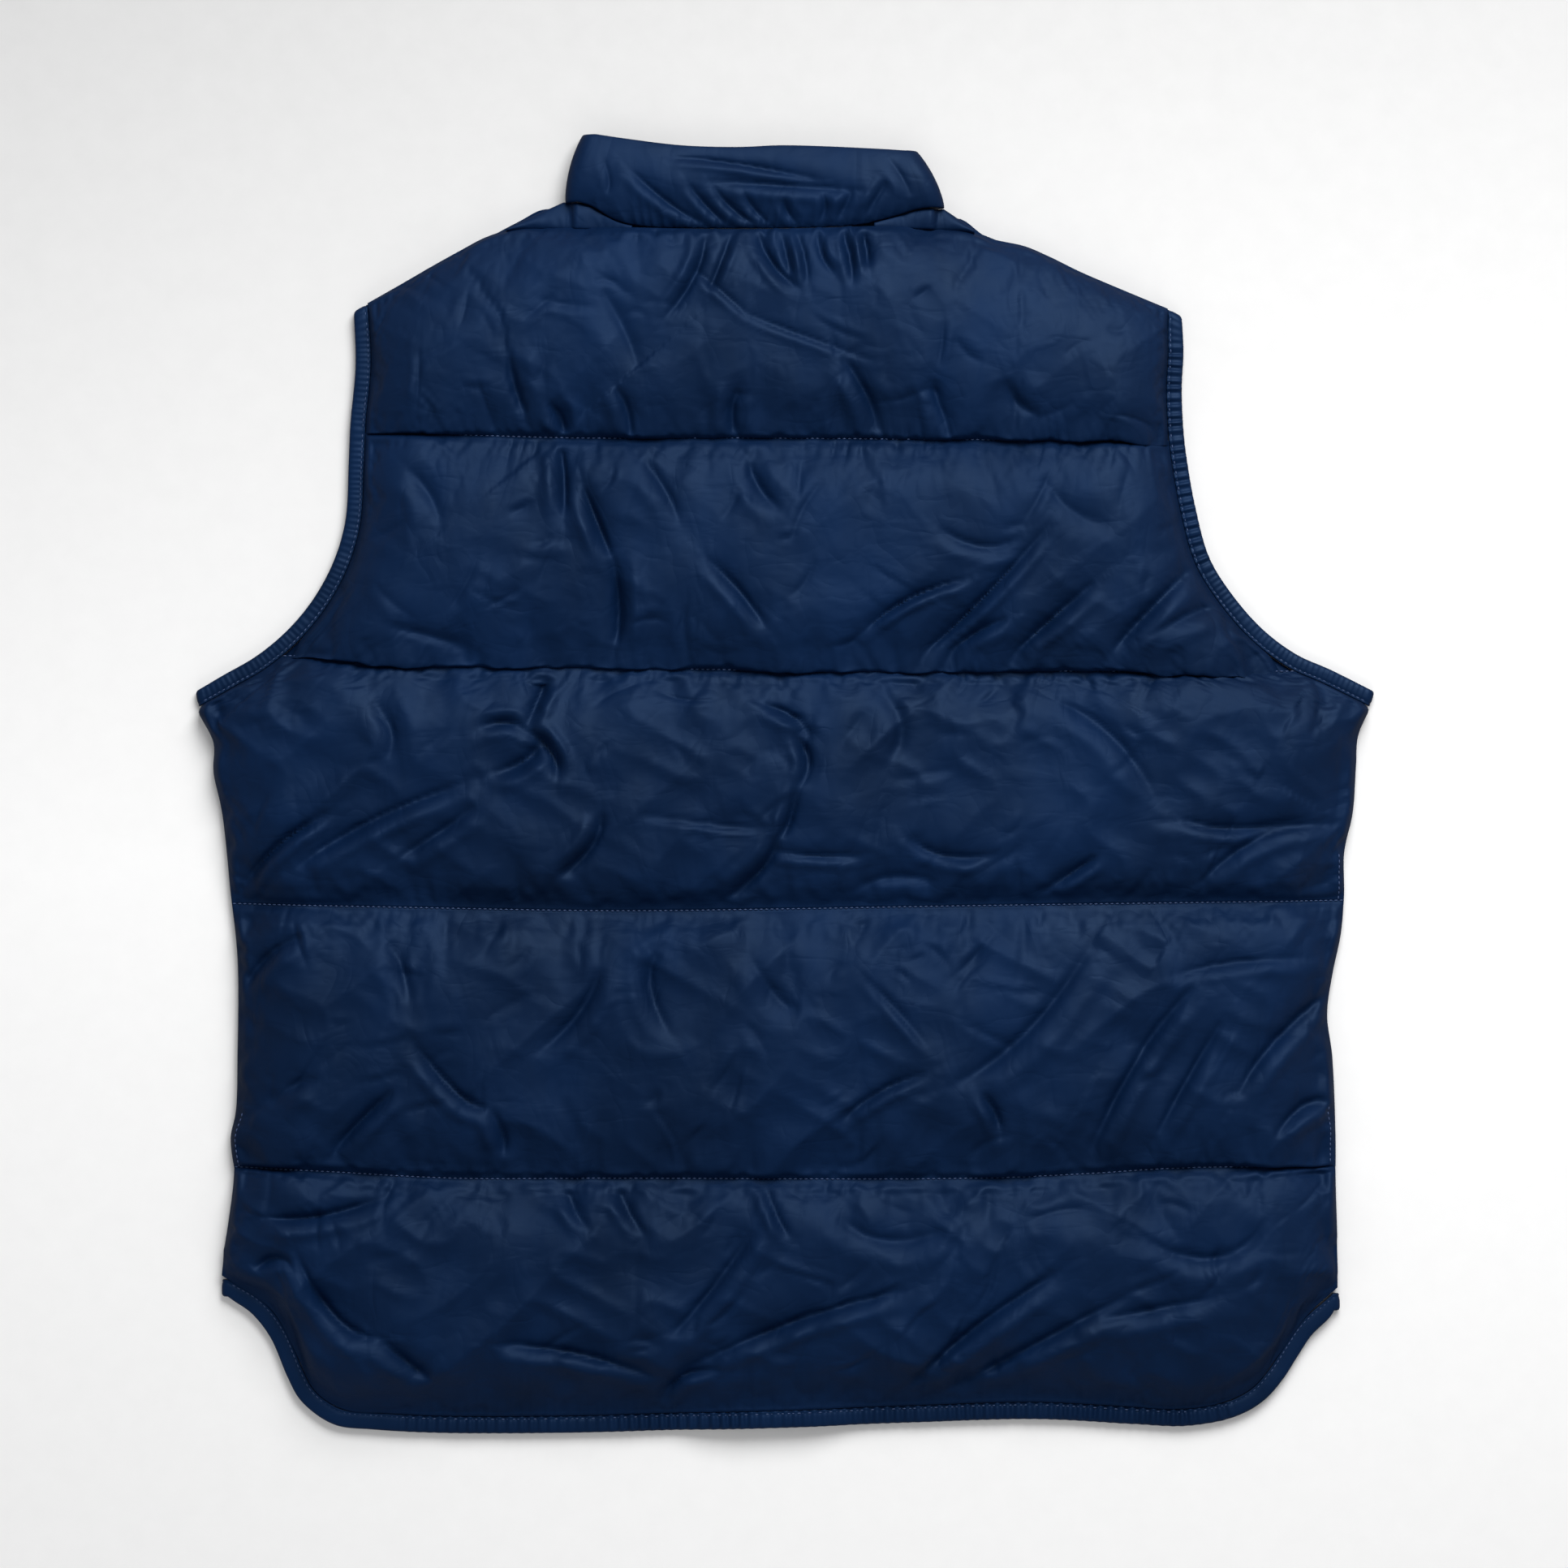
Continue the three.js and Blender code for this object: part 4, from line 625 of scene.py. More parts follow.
class Finish:
    """A material built node by node around one principled shader."""

    def __init__(self, name):
        self.material = bpy.data.materials.new(name)
        self.material.use_nodes = True
        self.tree = self.material.node_tree
        self.shader = next(n for n in self.tree.nodes if n.type == "BSDF_PRINCIPLED")
        self.place = self.node("ShaderNodeTexCoord", {}, {}, "Object")

    def node(self, kind, settings, inputs, output=None):
        """Adds a node: its settings first, then the values or links of its sockets."""
        node = self.tree.nodes.new(kind)
        for key, value in settings.items():
            setattr(node, key, value)
        for key, value in inputs.items():
            self.join(node.inputs[key], value)
        return node if output is None else Value(self, node.outputs[output])

    def join(self, socket, value):
        if isinstance(value, Value):
            self.tree.links.new(value.socket, socket)
        else:
            socket.default_value = value

    def set(self, **sockets):
        for key, value in sockets.items():
            self.join(self.shader.inputs[key.replace("_", " ").title()], value)

    def noise(self, scale, detail=2.0, roughness=0.5, stretch=(1, 1, 1), turn=0.0, distortion=0.0):
        """Noise on the piece's own coordinates, stretched and turned about Z."""
        spot = self.node("ShaderNodeMapping", {}, {
            "Vector": self.place, "Rotation": (0, 0, turn), "Scale": stretch}, "Vector")
        return self.node("ShaderNodeTexNoise", {}, {
            "Vector": spot, "Scale": scale, "Detail": detail, "Roughness": roughness,
            "Distortion": distortion}, "Fac")

    def bands(self, direction, scale, distortion):
        """Fine bands on the piece's own coordinates."""
        settings = {"wave_type": "BANDS", "bands_direction": direction}
        return self.node("ShaderNodeTexWave", settings, {
            "Vector": self.place, "Scale": scale, "Distortion": distortion, "Detail": 1.0}, "Fac")

    def range(self, value, low, high, to_low=0.0, to_high=1.0):
        """Carries a value from one range to another and stops at its ends."""
        return self.node("ShaderNodeMapRange", {"clamp": True}, {
            "Value": value, "From Min": low, "From Max": high, "To Min": to_low, "To Max": to_high},
            "Result")

    def mix(self, part, a, b):
        """Colour between two by a part from 0 to 1."""
        node = self.node("ShaderNodeMix", {"data_type": "RGBA"}, {0: part, 6: a, 7: b})
        return Value(self, node.outputs[2])

    def bump(self, height, distance, strength=1.0, under=None):
        inputs = {"Height": height, "Distance": distance, "Strength": strength}
        if under is not None:
            inputs["Normal"] = under
        return self.node("ShaderNodeBump", {}, inputs, "Normal")


def linear(red, green, blue, alpha=1.0):
    """Scene colour of a screen colour given from 0 to 255."""
    channel = np.array([red, green, blue]) / 255
    value = np.where(channel < 0.04045, channel / 12.92, ((channel + 0.055) / 1.055) ** 2.4)
    return (*map(float, value), alpha)


def shade(colour, factor, lift=0.0):
    """A colour made brighter or darker by a factor."""
    return tuple(min(c * factor + lift, 1) for c in colour[:3]) + (1.0,)


def cloth_finish(name, colour, rough, wrinkle):
    """Smooth nylon: plain weave, fine crumple, cloudy tone and bluish highlights."""
    f = Finish(name)
    cloud = f.noise(9, 3, 0.6)
    streak = f.noise(26, 4, 0.6, stretch=(1, 0.35, 1), turn=0.5)
    tone = f.range(cloud * 0.6 + streak * 0.4, 0.35, 0.65)
    f.set(base_color=f.mix(tone, shade(colour, 0.8), shade(colour, 1.35)))
    f.set(roughness=f.range(streak, 0.3, 0.7, rough - 0.05, rough + 0.07))
    crumple = abs(f.noise(34, 2, 0.55, stretch=(1, 0.6, 1), turn=0.7, distortion=0.6) - 0.5)
    crossed = abs(f.noise(60, 2, 0.5, stretch=(0.5, 1, 1), turn=-0.4, distortion=0.4) - 0.5)
    soft = f.noise(16, 3, 0.5)
    height = soft * 1.2 + f.range(crumple, 0.0, 0.16) * 0.65 + f.range(crossed, 0.0, 0.12) * 0.3
    relief = f.bump(height, 0.0005 * wrinkle)
    warp, weft = f.bands("X", 620.0, 0.6), f.bands("Y", 620.0, 0.6)
    f.set(normal=f.bump(warp * 0.5 + weft * 0.5, 0.00002, 0.5, relief))
    f.shader.inputs["Specular IOR Level"].default_value = 0.27
    f.shader.inputs["Specular Tint"].default_value = (0.34, 0.58, 1.0, 1)
    return f.material


def thread_finish(name, colour):
    """Twisted thread: fine slanting bands, with painted shade making their grooves darker than
    their crowns.
    """
    f = Finish(name)
    twist_and_painted_shade = f.bands("DIAGONAL", 900.0, 1.0)
    # Painted shade: where the bands are low, in the grooves, the colour is darkened to 0.7 of the
    # thread colour.
    f.set(base_color=f.mix(twist_and_painted_shade, shade(colour, 0.7), colour), roughness=0.55,
          normal=f.bump(twist_and_painted_shade, 0.00005))
    return f.material


def metal_finish(name, colour):
    """Painted brass stud: dark lacquer, rubbed brighter in small patches."""
    f = Finish(name)
    rub = f.noise(420, 3, 0.6)
    f.set(base_color=f.mix(f.range(rub, 0.5, 0.75), colour, shade(colour, 2.2, 0.05)),
          roughness=f.range(rub, 0.3, 0.7, 0.28, 0.45), metallic=0.8)
    f.set(normal=f.bump(f.noise(900, 2), 0.00003))
    return f.material


def finish_piece(piece, material):
    """Gives a piece its material and slot, and says that it rides with the vest."""
    piece.data.materials.append(material)
    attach(piece, "root")


class VestSizes(PropertyGroup):
    """Sizes that a maker would change."""
    back_loft: FloatProperty(
        name="Back loft", description="Height of the padding over the back's edge wall",
        default=0.0165, unit="LENGTH")
    slack: FloatProperty(
        name="Slack", description="Share by which the shell is cut longer than its padding",
        default=0.01, subtype="FACTOR")
    crease: FloatProperty(
        name="Crease", description="Strength of the pressed creases", default=1.2, subtype="FACTOR")
    frames: IntProperty(name="Frames", description="Steps in which the shell swells", default=18)
    stitch: FloatProperty(
        name="Stitch", description="Length from one stitch to the next", default=0.0031,
        unit="LENGTH")
    floor: FloatProperty(
        name="Floor", description="Side of the square floor", default=9.0, unit="LENGTH")


def colour_property(name, description, *screen):
    return FloatVectorProperty(
        name=name, description=description, subtype="COLOR", size=4, default=linear(*screen))


class VestColours(PropertyGroup):
    """Colours of the cloth, thread, studs and floor."""
    shell: colour_property("Shell", "Navy nylon of the panels", 4, 23, 52)
    binding: colour_property("Binding", "Folded strip round the armholes and hem", 5, 25, 54)
    thread: colour_property("Thread", "Sewing thread", 58, 80, 122)
    stud: colour_property("Stud", "Press studs", 42, 51, 70)
    floor: colour_property("Floor", "Pale floor", 249, 249, 249)


class VEST_OT_stage(Operator):
    """Pale floor, soft light and a camera straight above"""
    bl_idname = "vest.stage"
    bl_label = "Stage"

    def execute(self, context):
        sizes, colours = context.scene.vest_sizes, context.scene.vest_colours
        half = sizes.floor / MM / 2
        corners = np.array([(-half, -half, 0), (half, -half, 0), (half, half, 0), (-half, half, 0)])
        floor = make_mesh("floor", corners, [np.array([[0, 1, 2, 3]])])
        f = Finish("pale_floor_painted_shade")
        grain = f.noise(60, 4, 0.6)
        colour = tuple(colours.floor)
        # Painted shade: the floor's colour is made darker towards the collar, where the key light
        # is nearest.
        up = f.node("ShaderNodeSeparateXYZ", {}, {"Vector": f.place}, "Y")
        far = f.range(up, -0.05, 0.55) * 0.9 + grain * 0.1
        # The base colour runs from the floor colour towards painted shade at about half its
        # brightness.
        f.set(base_color=f.mix(far, colour, shade(colour, 0.52)), roughness=0.9)
        floor.data.materials.append(f.material)
        floor.visible_glossy = False
        world = bpy.data.worlds.new("soft_room")
        context.scene.world = world
        world.use_nodes = True
        sky = next(n for n in world.node_tree.nodes if n.type == "BACKGROUND")
        sky.inputs["Color"].default_value = (1, 1, 1, 1)
        sky.inputs["Strength"].default_value = 0.26
        lights = (("key_light", (0.45, 1.3, 1.5), 1.3, 49.0),
                  ("left_light", (-2.8, -0.4, 2.0), 2.0, 12.0),
                  ("right_light", (2.6, -1.6, 2.0), 2.0, 7.0),
                  ("foot_light", (0.1, -2.4, 1.9), 2.0, 13.0))
        for name, spot, size, power in lights:
            lamp = bpy.data.lights.new(name, "AREA")
            lamp.shape, lamp.size, lamp.energy = "SQUARE", size, power
            light = bpy.data.objects.new(name, lamp)
            context.scene.collection.objects.link(light)
            light.location = spot
            light.visible_glossy = name == "key_light"
            aim = -np.array(spot)
            light.rotation_euler = (math.atan2(math.hypot(aim[0], aim[1]), -aim[2]), 0,
                                    math.atan2(aim[0], -aim[1]) + math.pi)
        lens = bpy.data.cameras.new("camera")
        camera = bpy.data.objects.new("camera", lens)
        context.scene.collection.objects.link(camera)
        high, frame_width, level, sensor = 3.2, 0.9177, 0.008, 36
        camera.location = (0, 0, high)
        lens.sensor_width = sensor
        lens.lens = sensor * (high - level) / frame_width
        context.scene.camera = camera
        context.scene.view_settings.view_transform = "Standard"
        return {"FINISHED"}


class VEST_OT_back(Operator):
    """Padded back panel: five channels between the collar, four quilt lines and the hem"""
    bl_idname = "vest.back"
    bl_label = "Back panel"

    def execute(self, context):
        sizes, colours = context.scene.vest_sizes, context.scene.vest_colours
        SIDE_RUNS.clear()
        plan, up = body_plan(EDGE_LEFT, EDGE_RIGHT, spline(BACK_TOP), COLUMNS, ROWS)
        inside = layer_height(plan) + SEAM_GAP
        away = np.minimum(distance(plan, EDGE_LEFT[::2]), distance(plan, EDGE_RIGHT[::2]))
        side_rise = np.sqrt(1 - (1 - np.clip(away / 30, 0, 1)) ** 2)
        puff = (1 - np.abs(2 * up - 1) ** 3) ** 0.6
        rise = puff[:, None] * side_rise
        loft = sizes.back_loft / MM * (1 + 0.12 * lattice_noise(plan, 90, 3))
        rough = 1.4 * lattice_noise(plan, 42, 5) + 0.5 * lattice_noise(plan, 17, 6)
        top = inside + EDGE_WALL + (0.85 * loft + rough - 0.25 * crease_depth(plan, CREASES)) * rise
        shell = np.concatenate([plan, top[..., None]], -1)
        seam = np.zeros(shell.shape[:2], bool)
        seam[::ROWS] = True
        seam[:, [0, -1]] = True
        shell = swell(shell, seam, sizes.slack, sizes.frames)
        over = shell[..., 2] - inside - EDGE_WALL
        crowned = 1 - (1 - np.clip(over / CROWN, 0, 1)) ** 2
        shell[..., 2] += CROWN_KEPT * CROWN * crowned - over
        material = cloth_finish("navy_nylon_back", colours.shell, SHELL_ROUGHNESS, 1.0)
        ups = even_to_ends(FINER * ROWS, 0.3)
        small = small_creases(300)
        for k in range(5):
            block = slice(k * ROWS, (k + 1) * ROWS + 1)
            fine, low = finer(shell[block]), finer(inside[block])
            self.press(fine, ups, k, sizes.crease, small)
            slopes = (smooth(ups * CHANNEL / SEAM_SLOPES[k])
                      * smooth((1 - ups) * CHANNEL / SEAM_SLOPES[k + 1]))
            over = fine[..., 2] - low - EDGE_WALL
            fine[..., 2] += over * (np.sqrt(slopes)[:, None] - 1)
            if k == 0:
                x = fine[..., 0]
                elastic = smooth((x - ELASTIC[0]) / 12) * smooth((ELASTIC[1] - x) / 12)
                elastic = elastic * np.exp(-ups * CHANNEL / 11)[:, None]
                wave = 1 - np.abs(np.sin(x * 0.52 + 2 * line_noise(x, 17, 44)))
                fine[1:, :, 2] -= (1.3 * elastic * wave)[1:]
            fine[..., 2] = np.maximum(fine[..., 2], low + 1.2)
            for column, start, stop in SIDE_STITCHES:
                kept = (fine[:, column, 1] > start) & (fine[:, column, 1] < stop)
                if kept.sum() > 4:
                    SIDE_RUNS.append(fine[kept, column] + (0, 0, 0.12))
            points, faces = wall(fine, low, 5)
            piece = make_mesh(f"back_channel_{5 - k}", points, faces)
            finish_piece(piece, material)
            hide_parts("back_panel")
        return {"FINISHED"}

    def press(self, fine, ups, k, strength, small):
        """Presses creases and seam puckers into one channel and lets its foot bulge over the
        quilt line below it."""
        plan = fine[..., :2].copy()
        x, y = plan[..., 0], plan[..., 1]
        some = plan[::FINER, ::FINER]
        away = finer(np.minimum(distance(some, EDGE_LEFT[::4]), distance(some, EDGE_RIGHT[::4])))
        foot, head = ups[:, None] * CHANNEL, (1 - ups)[:, None] * CHANNEL
        hold = np.clip(away / 10, 0, 1) * np.clip(np.minimum(foot, head) / 8, 0, 1)
        depth = 1.15 * crease_depth(plan, CREASES) + 0.6 * crease_depth(plan, small)
        for deep, angle, size, seed in ((3.6, 0.7, (66, 30), 81), (1.8, -0.5, (30, 17), 82)):
            depth += CRUMPLED[k] * deep * np.abs(lattice_noise(turned(plan, angle), size, seed))
        fine[..., 2] -= strength * hold * depth
        for seam, seed in ((foot, 50 + k), (head, 60 + k)):
            fine[..., 2] -= 3 * pinches(x + 0.25 * seam, seam, 0, 2, (0.3, 5, 24, seed),
                                        (0.45, 0.1, 37, seed + 40), (3.5, 7, 19, seed + 20))
        fine[..., 2] -= 2.6 * pinches(y + 0.4 * away, away, np.sign(x), 4, (0.24, 4, 23, 45),
                                      (0.5, 0, 31, 46), (6, 9, 27, 47))
        if k == 4:
            # The collar's gathers push the top seam up in small steps.
            gathered = smooth((62 - np.abs(x + 6)) / 20) * (1 + 0.9 * line_noise(x, 5, 43))
            lip = np.exp(-((1 - ups - 0.03) / 0.03) ** 2) * (ups < 1)
            fine[..., 1] += 1.7 * lip[:, None] * gathered
        if k > 0:
            amount = mix(*OVERHANGS[k - 1], smooth((x + 320) / 640))
            bulge = np.exp(-((ups - 0.045) / 0.04) ** 2) * (ups > 0)
            uneven = (1 + 0.35 * line_noise(x, 38, 41, 50 * k)
                      + 0.3 * line_noise(x, 11, 42, 50 * k))
            fine[..., 1] -= bulge[:, None] * amount * uneven


class VEST_OT_fronts(Operator):
    """Two padded fronts lapped at the centre, each turned over the shoulder beside the neck"""
    bl_idname = "vest.fronts"
    bl_label = "Fronts"

    def execute(self, context):
        colours = context.scene.vest_colours
        material = cloth_finish("navy_nylon_front", colours.shell, SHELL_ROUGHNESS, 1.0)
        for name, node, on_left in (("front_left", "left_front", True),
                                    ("front_right", "right_front", False)):
            way = 1 if on_left else -1
            opening = CENTRE_X + way * LAP_HALF
            ends = neckline_y(np.array(opening)), y_at(HEM_INNER, opening)
            line = np.column_stack([np.full(60, opening), np.linspace(*ends, 60)])
            side_neck = SHOULDER_LEFT[-1] if on_left else SHOULDER_RIGHT[0]
            neck_x = np.linspace(opening, side_neck[0], 40)
            neck = np.column_stack([neck_x, neckline_y(neck_x) - 0.6])
            shoulder = spline(SHOULDER_LEFT[::-1] if on_left else SHOULDER_RIGHT, 40)
            top = np.vstack([neck, shoulder[1:]])
            sides = (EDGE_LEFT, line) if on_left else (line, EDGE_RIGHT)
            plan, up = body_plan(*sides, top[np.argsort(top[:, 0])], 96, 32)
            height = layer_height(plan) - 0.1
            in_lap = np.abs(plan[..., 0] - CENTRE_X) < LAP_HALF + 0.4
            base = np.zeros(height.shape)
            if on_left:
                height = np.where(in_lap, np.minimum(height, LAP_UNDER), height)
            else:
                base = np.where(in_lap, LAP_UNDER + SEAM_GAP, base)
            groove = np.exp(-(np.minimum(up, 1 - up) / 0.045) ** 2)
            groove[:2] = groove[-2:] = 0
            room = np.clip((height - base - 2.5) / 10, 0, 1)
            dips = 4.5 * groove[:, None] + 0.5 * np.abs(lattice_noise(plan, 30, 9))
            fine = np.concatenate([plan, (base + dips * room)[..., None]], -1)
            body_points, body_faces = wall(fine, height, 4, fine_on_top=False)
            turn_points, turn_faces = self.turn(on_left)
            turn_faces = [faces + len(body_points) for faces in turn_faces]
            piece = make_mesh(name, np.vstack([body_points, turn_points]), body_faces + turn_faces)
            finish_piece(piece, material)
            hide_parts(node)
        return {"FINISHED"}

    def turn(self, on_left):
        """Crescent of the front above the back's shoulder seam, from its outer end to its tip
        over the collar."""
        outer, near, tip = ((-163, 325), (-129, 340.6), (-88, 326)) if on_left else (
            (112, 324), (93.5, 336.6), (52, 327))
        seam = spline(BACK_TOP)
        collar = spline(COLLAR_SEAM)
        inward = 1 if on_left else -1
        kept = collar[(collar[:, 0] - near[0]) * inward > 8] - (0, 0.9)
        upper = np.vstack([outer, near, kept if on_left else kept[::-1]])
        x = mix(outer[0], tip[0], np.linspace(0.01, 0.99, 60))
        v = np.linspace(0, 1, 15)[:, None]
        low_y = y_at(seam, x) - 1.5
        y = mix(low_y, np.maximum(y_at(upper, x), low_y + 2), v)
        plan = np.stack([np.broadcast_to(x, y.shape), y], -1)
        bottom = 10 * smooth((plan[..., 0] - near[0]) * inward / 8)
        lower = smooth((x - outer[0]) * inward / abs(tip[0] - outer[0]) * 1.3)
        rise = (mix(EDGE_WALL + 0.5, 2.2, lower)
                + mix(3.5, 0.8, lower) * np.sin(np.pi * np.clip(v, 0, 1)) ** 0.6)
        pinch = 0.4 * np.abs(np.sin(plan[..., 0] * 0.55 + 2 * lattice_noise(plan, 12, 4))) * (1 - v)
        top = np.maximum(layer_height(plan) + 0.9, bottom) + rise - pinch
        if not on_left:
            plan, top, bottom = plan[:, ::-1], top[:, ::-1], bottom[:, ::-1]
        return wall(np.concatenate([plan, top[..., None]], -1), bottom, 2)


class VEST_OT_collar(Operator):
    """Padded stand collar pressed flat, its back above its fronts"""
    bl_idname = "vest.collar"
    bl_label = "Collar"

    def execute(self, context):
        colours = context.scene.vest_colours
        across = even_to_ends(40, 0.4)
        wall_height = COLLAR_EDGE + 5.5 * np.sin(np.pi * across) ** 0.7
        us = np.linspace(0, 1, 221)
        seam, edge = at_shares(spline(COLLAR_SEAM), us), at_shares(spline(COLLAR_TOP), us)
        plan = mix(seam[:, None], edge[:, None], across[None, :, None])
        ends = 1 - np.abs(2 * us - 1)[:, None] ** 6
        swelling = np.sin(np.pi * across)[None] ** 0.8
        crease = crease_depth(plan, COLLAR_CREASES) * ends * np.sin(np.pi * across) ** 0.4
        uneven = 0.9 * lattice_noise(plan, 26, 12) + 0.35 * lattice_noise(plan, 9, 13)
        gather = np.abs(np.sin(plan[..., 0] * 0.42 + 2.5 * lattice_noise(plan, 18, 14)))
        gather = 2.0 * gather * np.exp(-across / 0.16)[None] * ends
        top = COLLAR_INSIDE + wall_height + (uneven + 1.2) * swelling * ends - 1.4 * crease - gather
        top = np.maximum(top, COLLAR_INSIDE + 2.2)
        back_outer = np.concatenate([plan, top[..., None]], -1)
        back_inner = np.concatenate([plan, np.full(top.shape + (1,), COLLAR_INSIDE)], -1)
        left_fold = self.fold(seam[0], edge[0], -1, across, wall_height, False)
        right_fold = self.fold(seam[-1], edge[-1], 1, across, wall_height, True)
        left = self.front_half(True, seam[0], edge[0], across, wall_height)
        right = self.front_half(False, seam[-1], edge[-1], across, wall_height)
        outer = np.concatenate([left[0][::-1], left_fold[0], back_outer, right_fold[0], right[0]])
        inner = np.concatenate([left[1][::-1], left_fold[1], back_inner, right_fold[1], right[1]])
        points, faces = band(outer, inner)
        piece = make_mesh("collar_stand", points, faces)
        material = cloth_finish("navy_nylon_collar", colours.shell, SHELL_ROUGHNESS, 0.9)
        finish_piece(piece, material)
        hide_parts("collar")
        return {"FINISHED"}

    def fold(self, base, top, out, across, rise, from_back):
        """Half turn of the band round the end of the flattened collar."""
        turn = np.pi * np.linspace(0, 1, 14)[1:-1][:, None]
        turn = turn if from_back else np.pi - turn
        radius, middle = (COLLAR_INSIDE - rise) / 2, (COLLAR_INSIDE + rise) / 2
        line = mix(base, top, across[:, None])
        both = []
        for reach in (radius + rise, radius + np.zeros_like(rise)):
            x = line[:, 0] + out * np.sin(turn) * reach
            y = np.broadcast_to(line[:, 1], x.shape)
            both.append(np.stack([x, y, middle + np.cos(turn) * reach], -1))
        return both

    def front_half(self, on_left, base, top, across, rise):
        """Front half of the collar from its fold to its end in the lap."""
        way = 1 if on_left else -1
        lap, step = CENTRE_X + way * LAP_HALF, CENTRE_X - way * LAP_HALF
        ledge = (-0.2, 0.2) if on_left else (1.2, 0.6)
        x = np.concatenate([np.linspace(base[0], step, 36)[:-1], step + np.array(ledge),
                            np.linspace(step - 0.5 * (not on_left), lap, 9)[1:]])
        share = np.clip((x - base[0]) / (step - base[0]), 0, 1)[:, None]
        foot = np.column_stack([x, neckline_y(x) + 0.6])
        foot[0] = base
        lean = unit(mix(unit(top - base), np.array([0.0, 1.0]), share))
        head = foot + lean * mix(np.linalg.norm(top - base), COLLAR_FRONT, share)
        plan = mix(foot[:, None], head[:, None], across[None, :, None])
        in_lap = ((x - step) * way > 0)[:, None]
        full = np.broadcast_to(rise, plan.shape[:2])
        low = np.where(in_lap & (not on_left), 4.3, 0.0) * np.ones_like(full)
        high = np.where(in_lap, np.minimum(full, 4) if on_left else 8.3, full)
        return [np.concatenate([plan, z[..., None]], -1) for z in (low, high)]


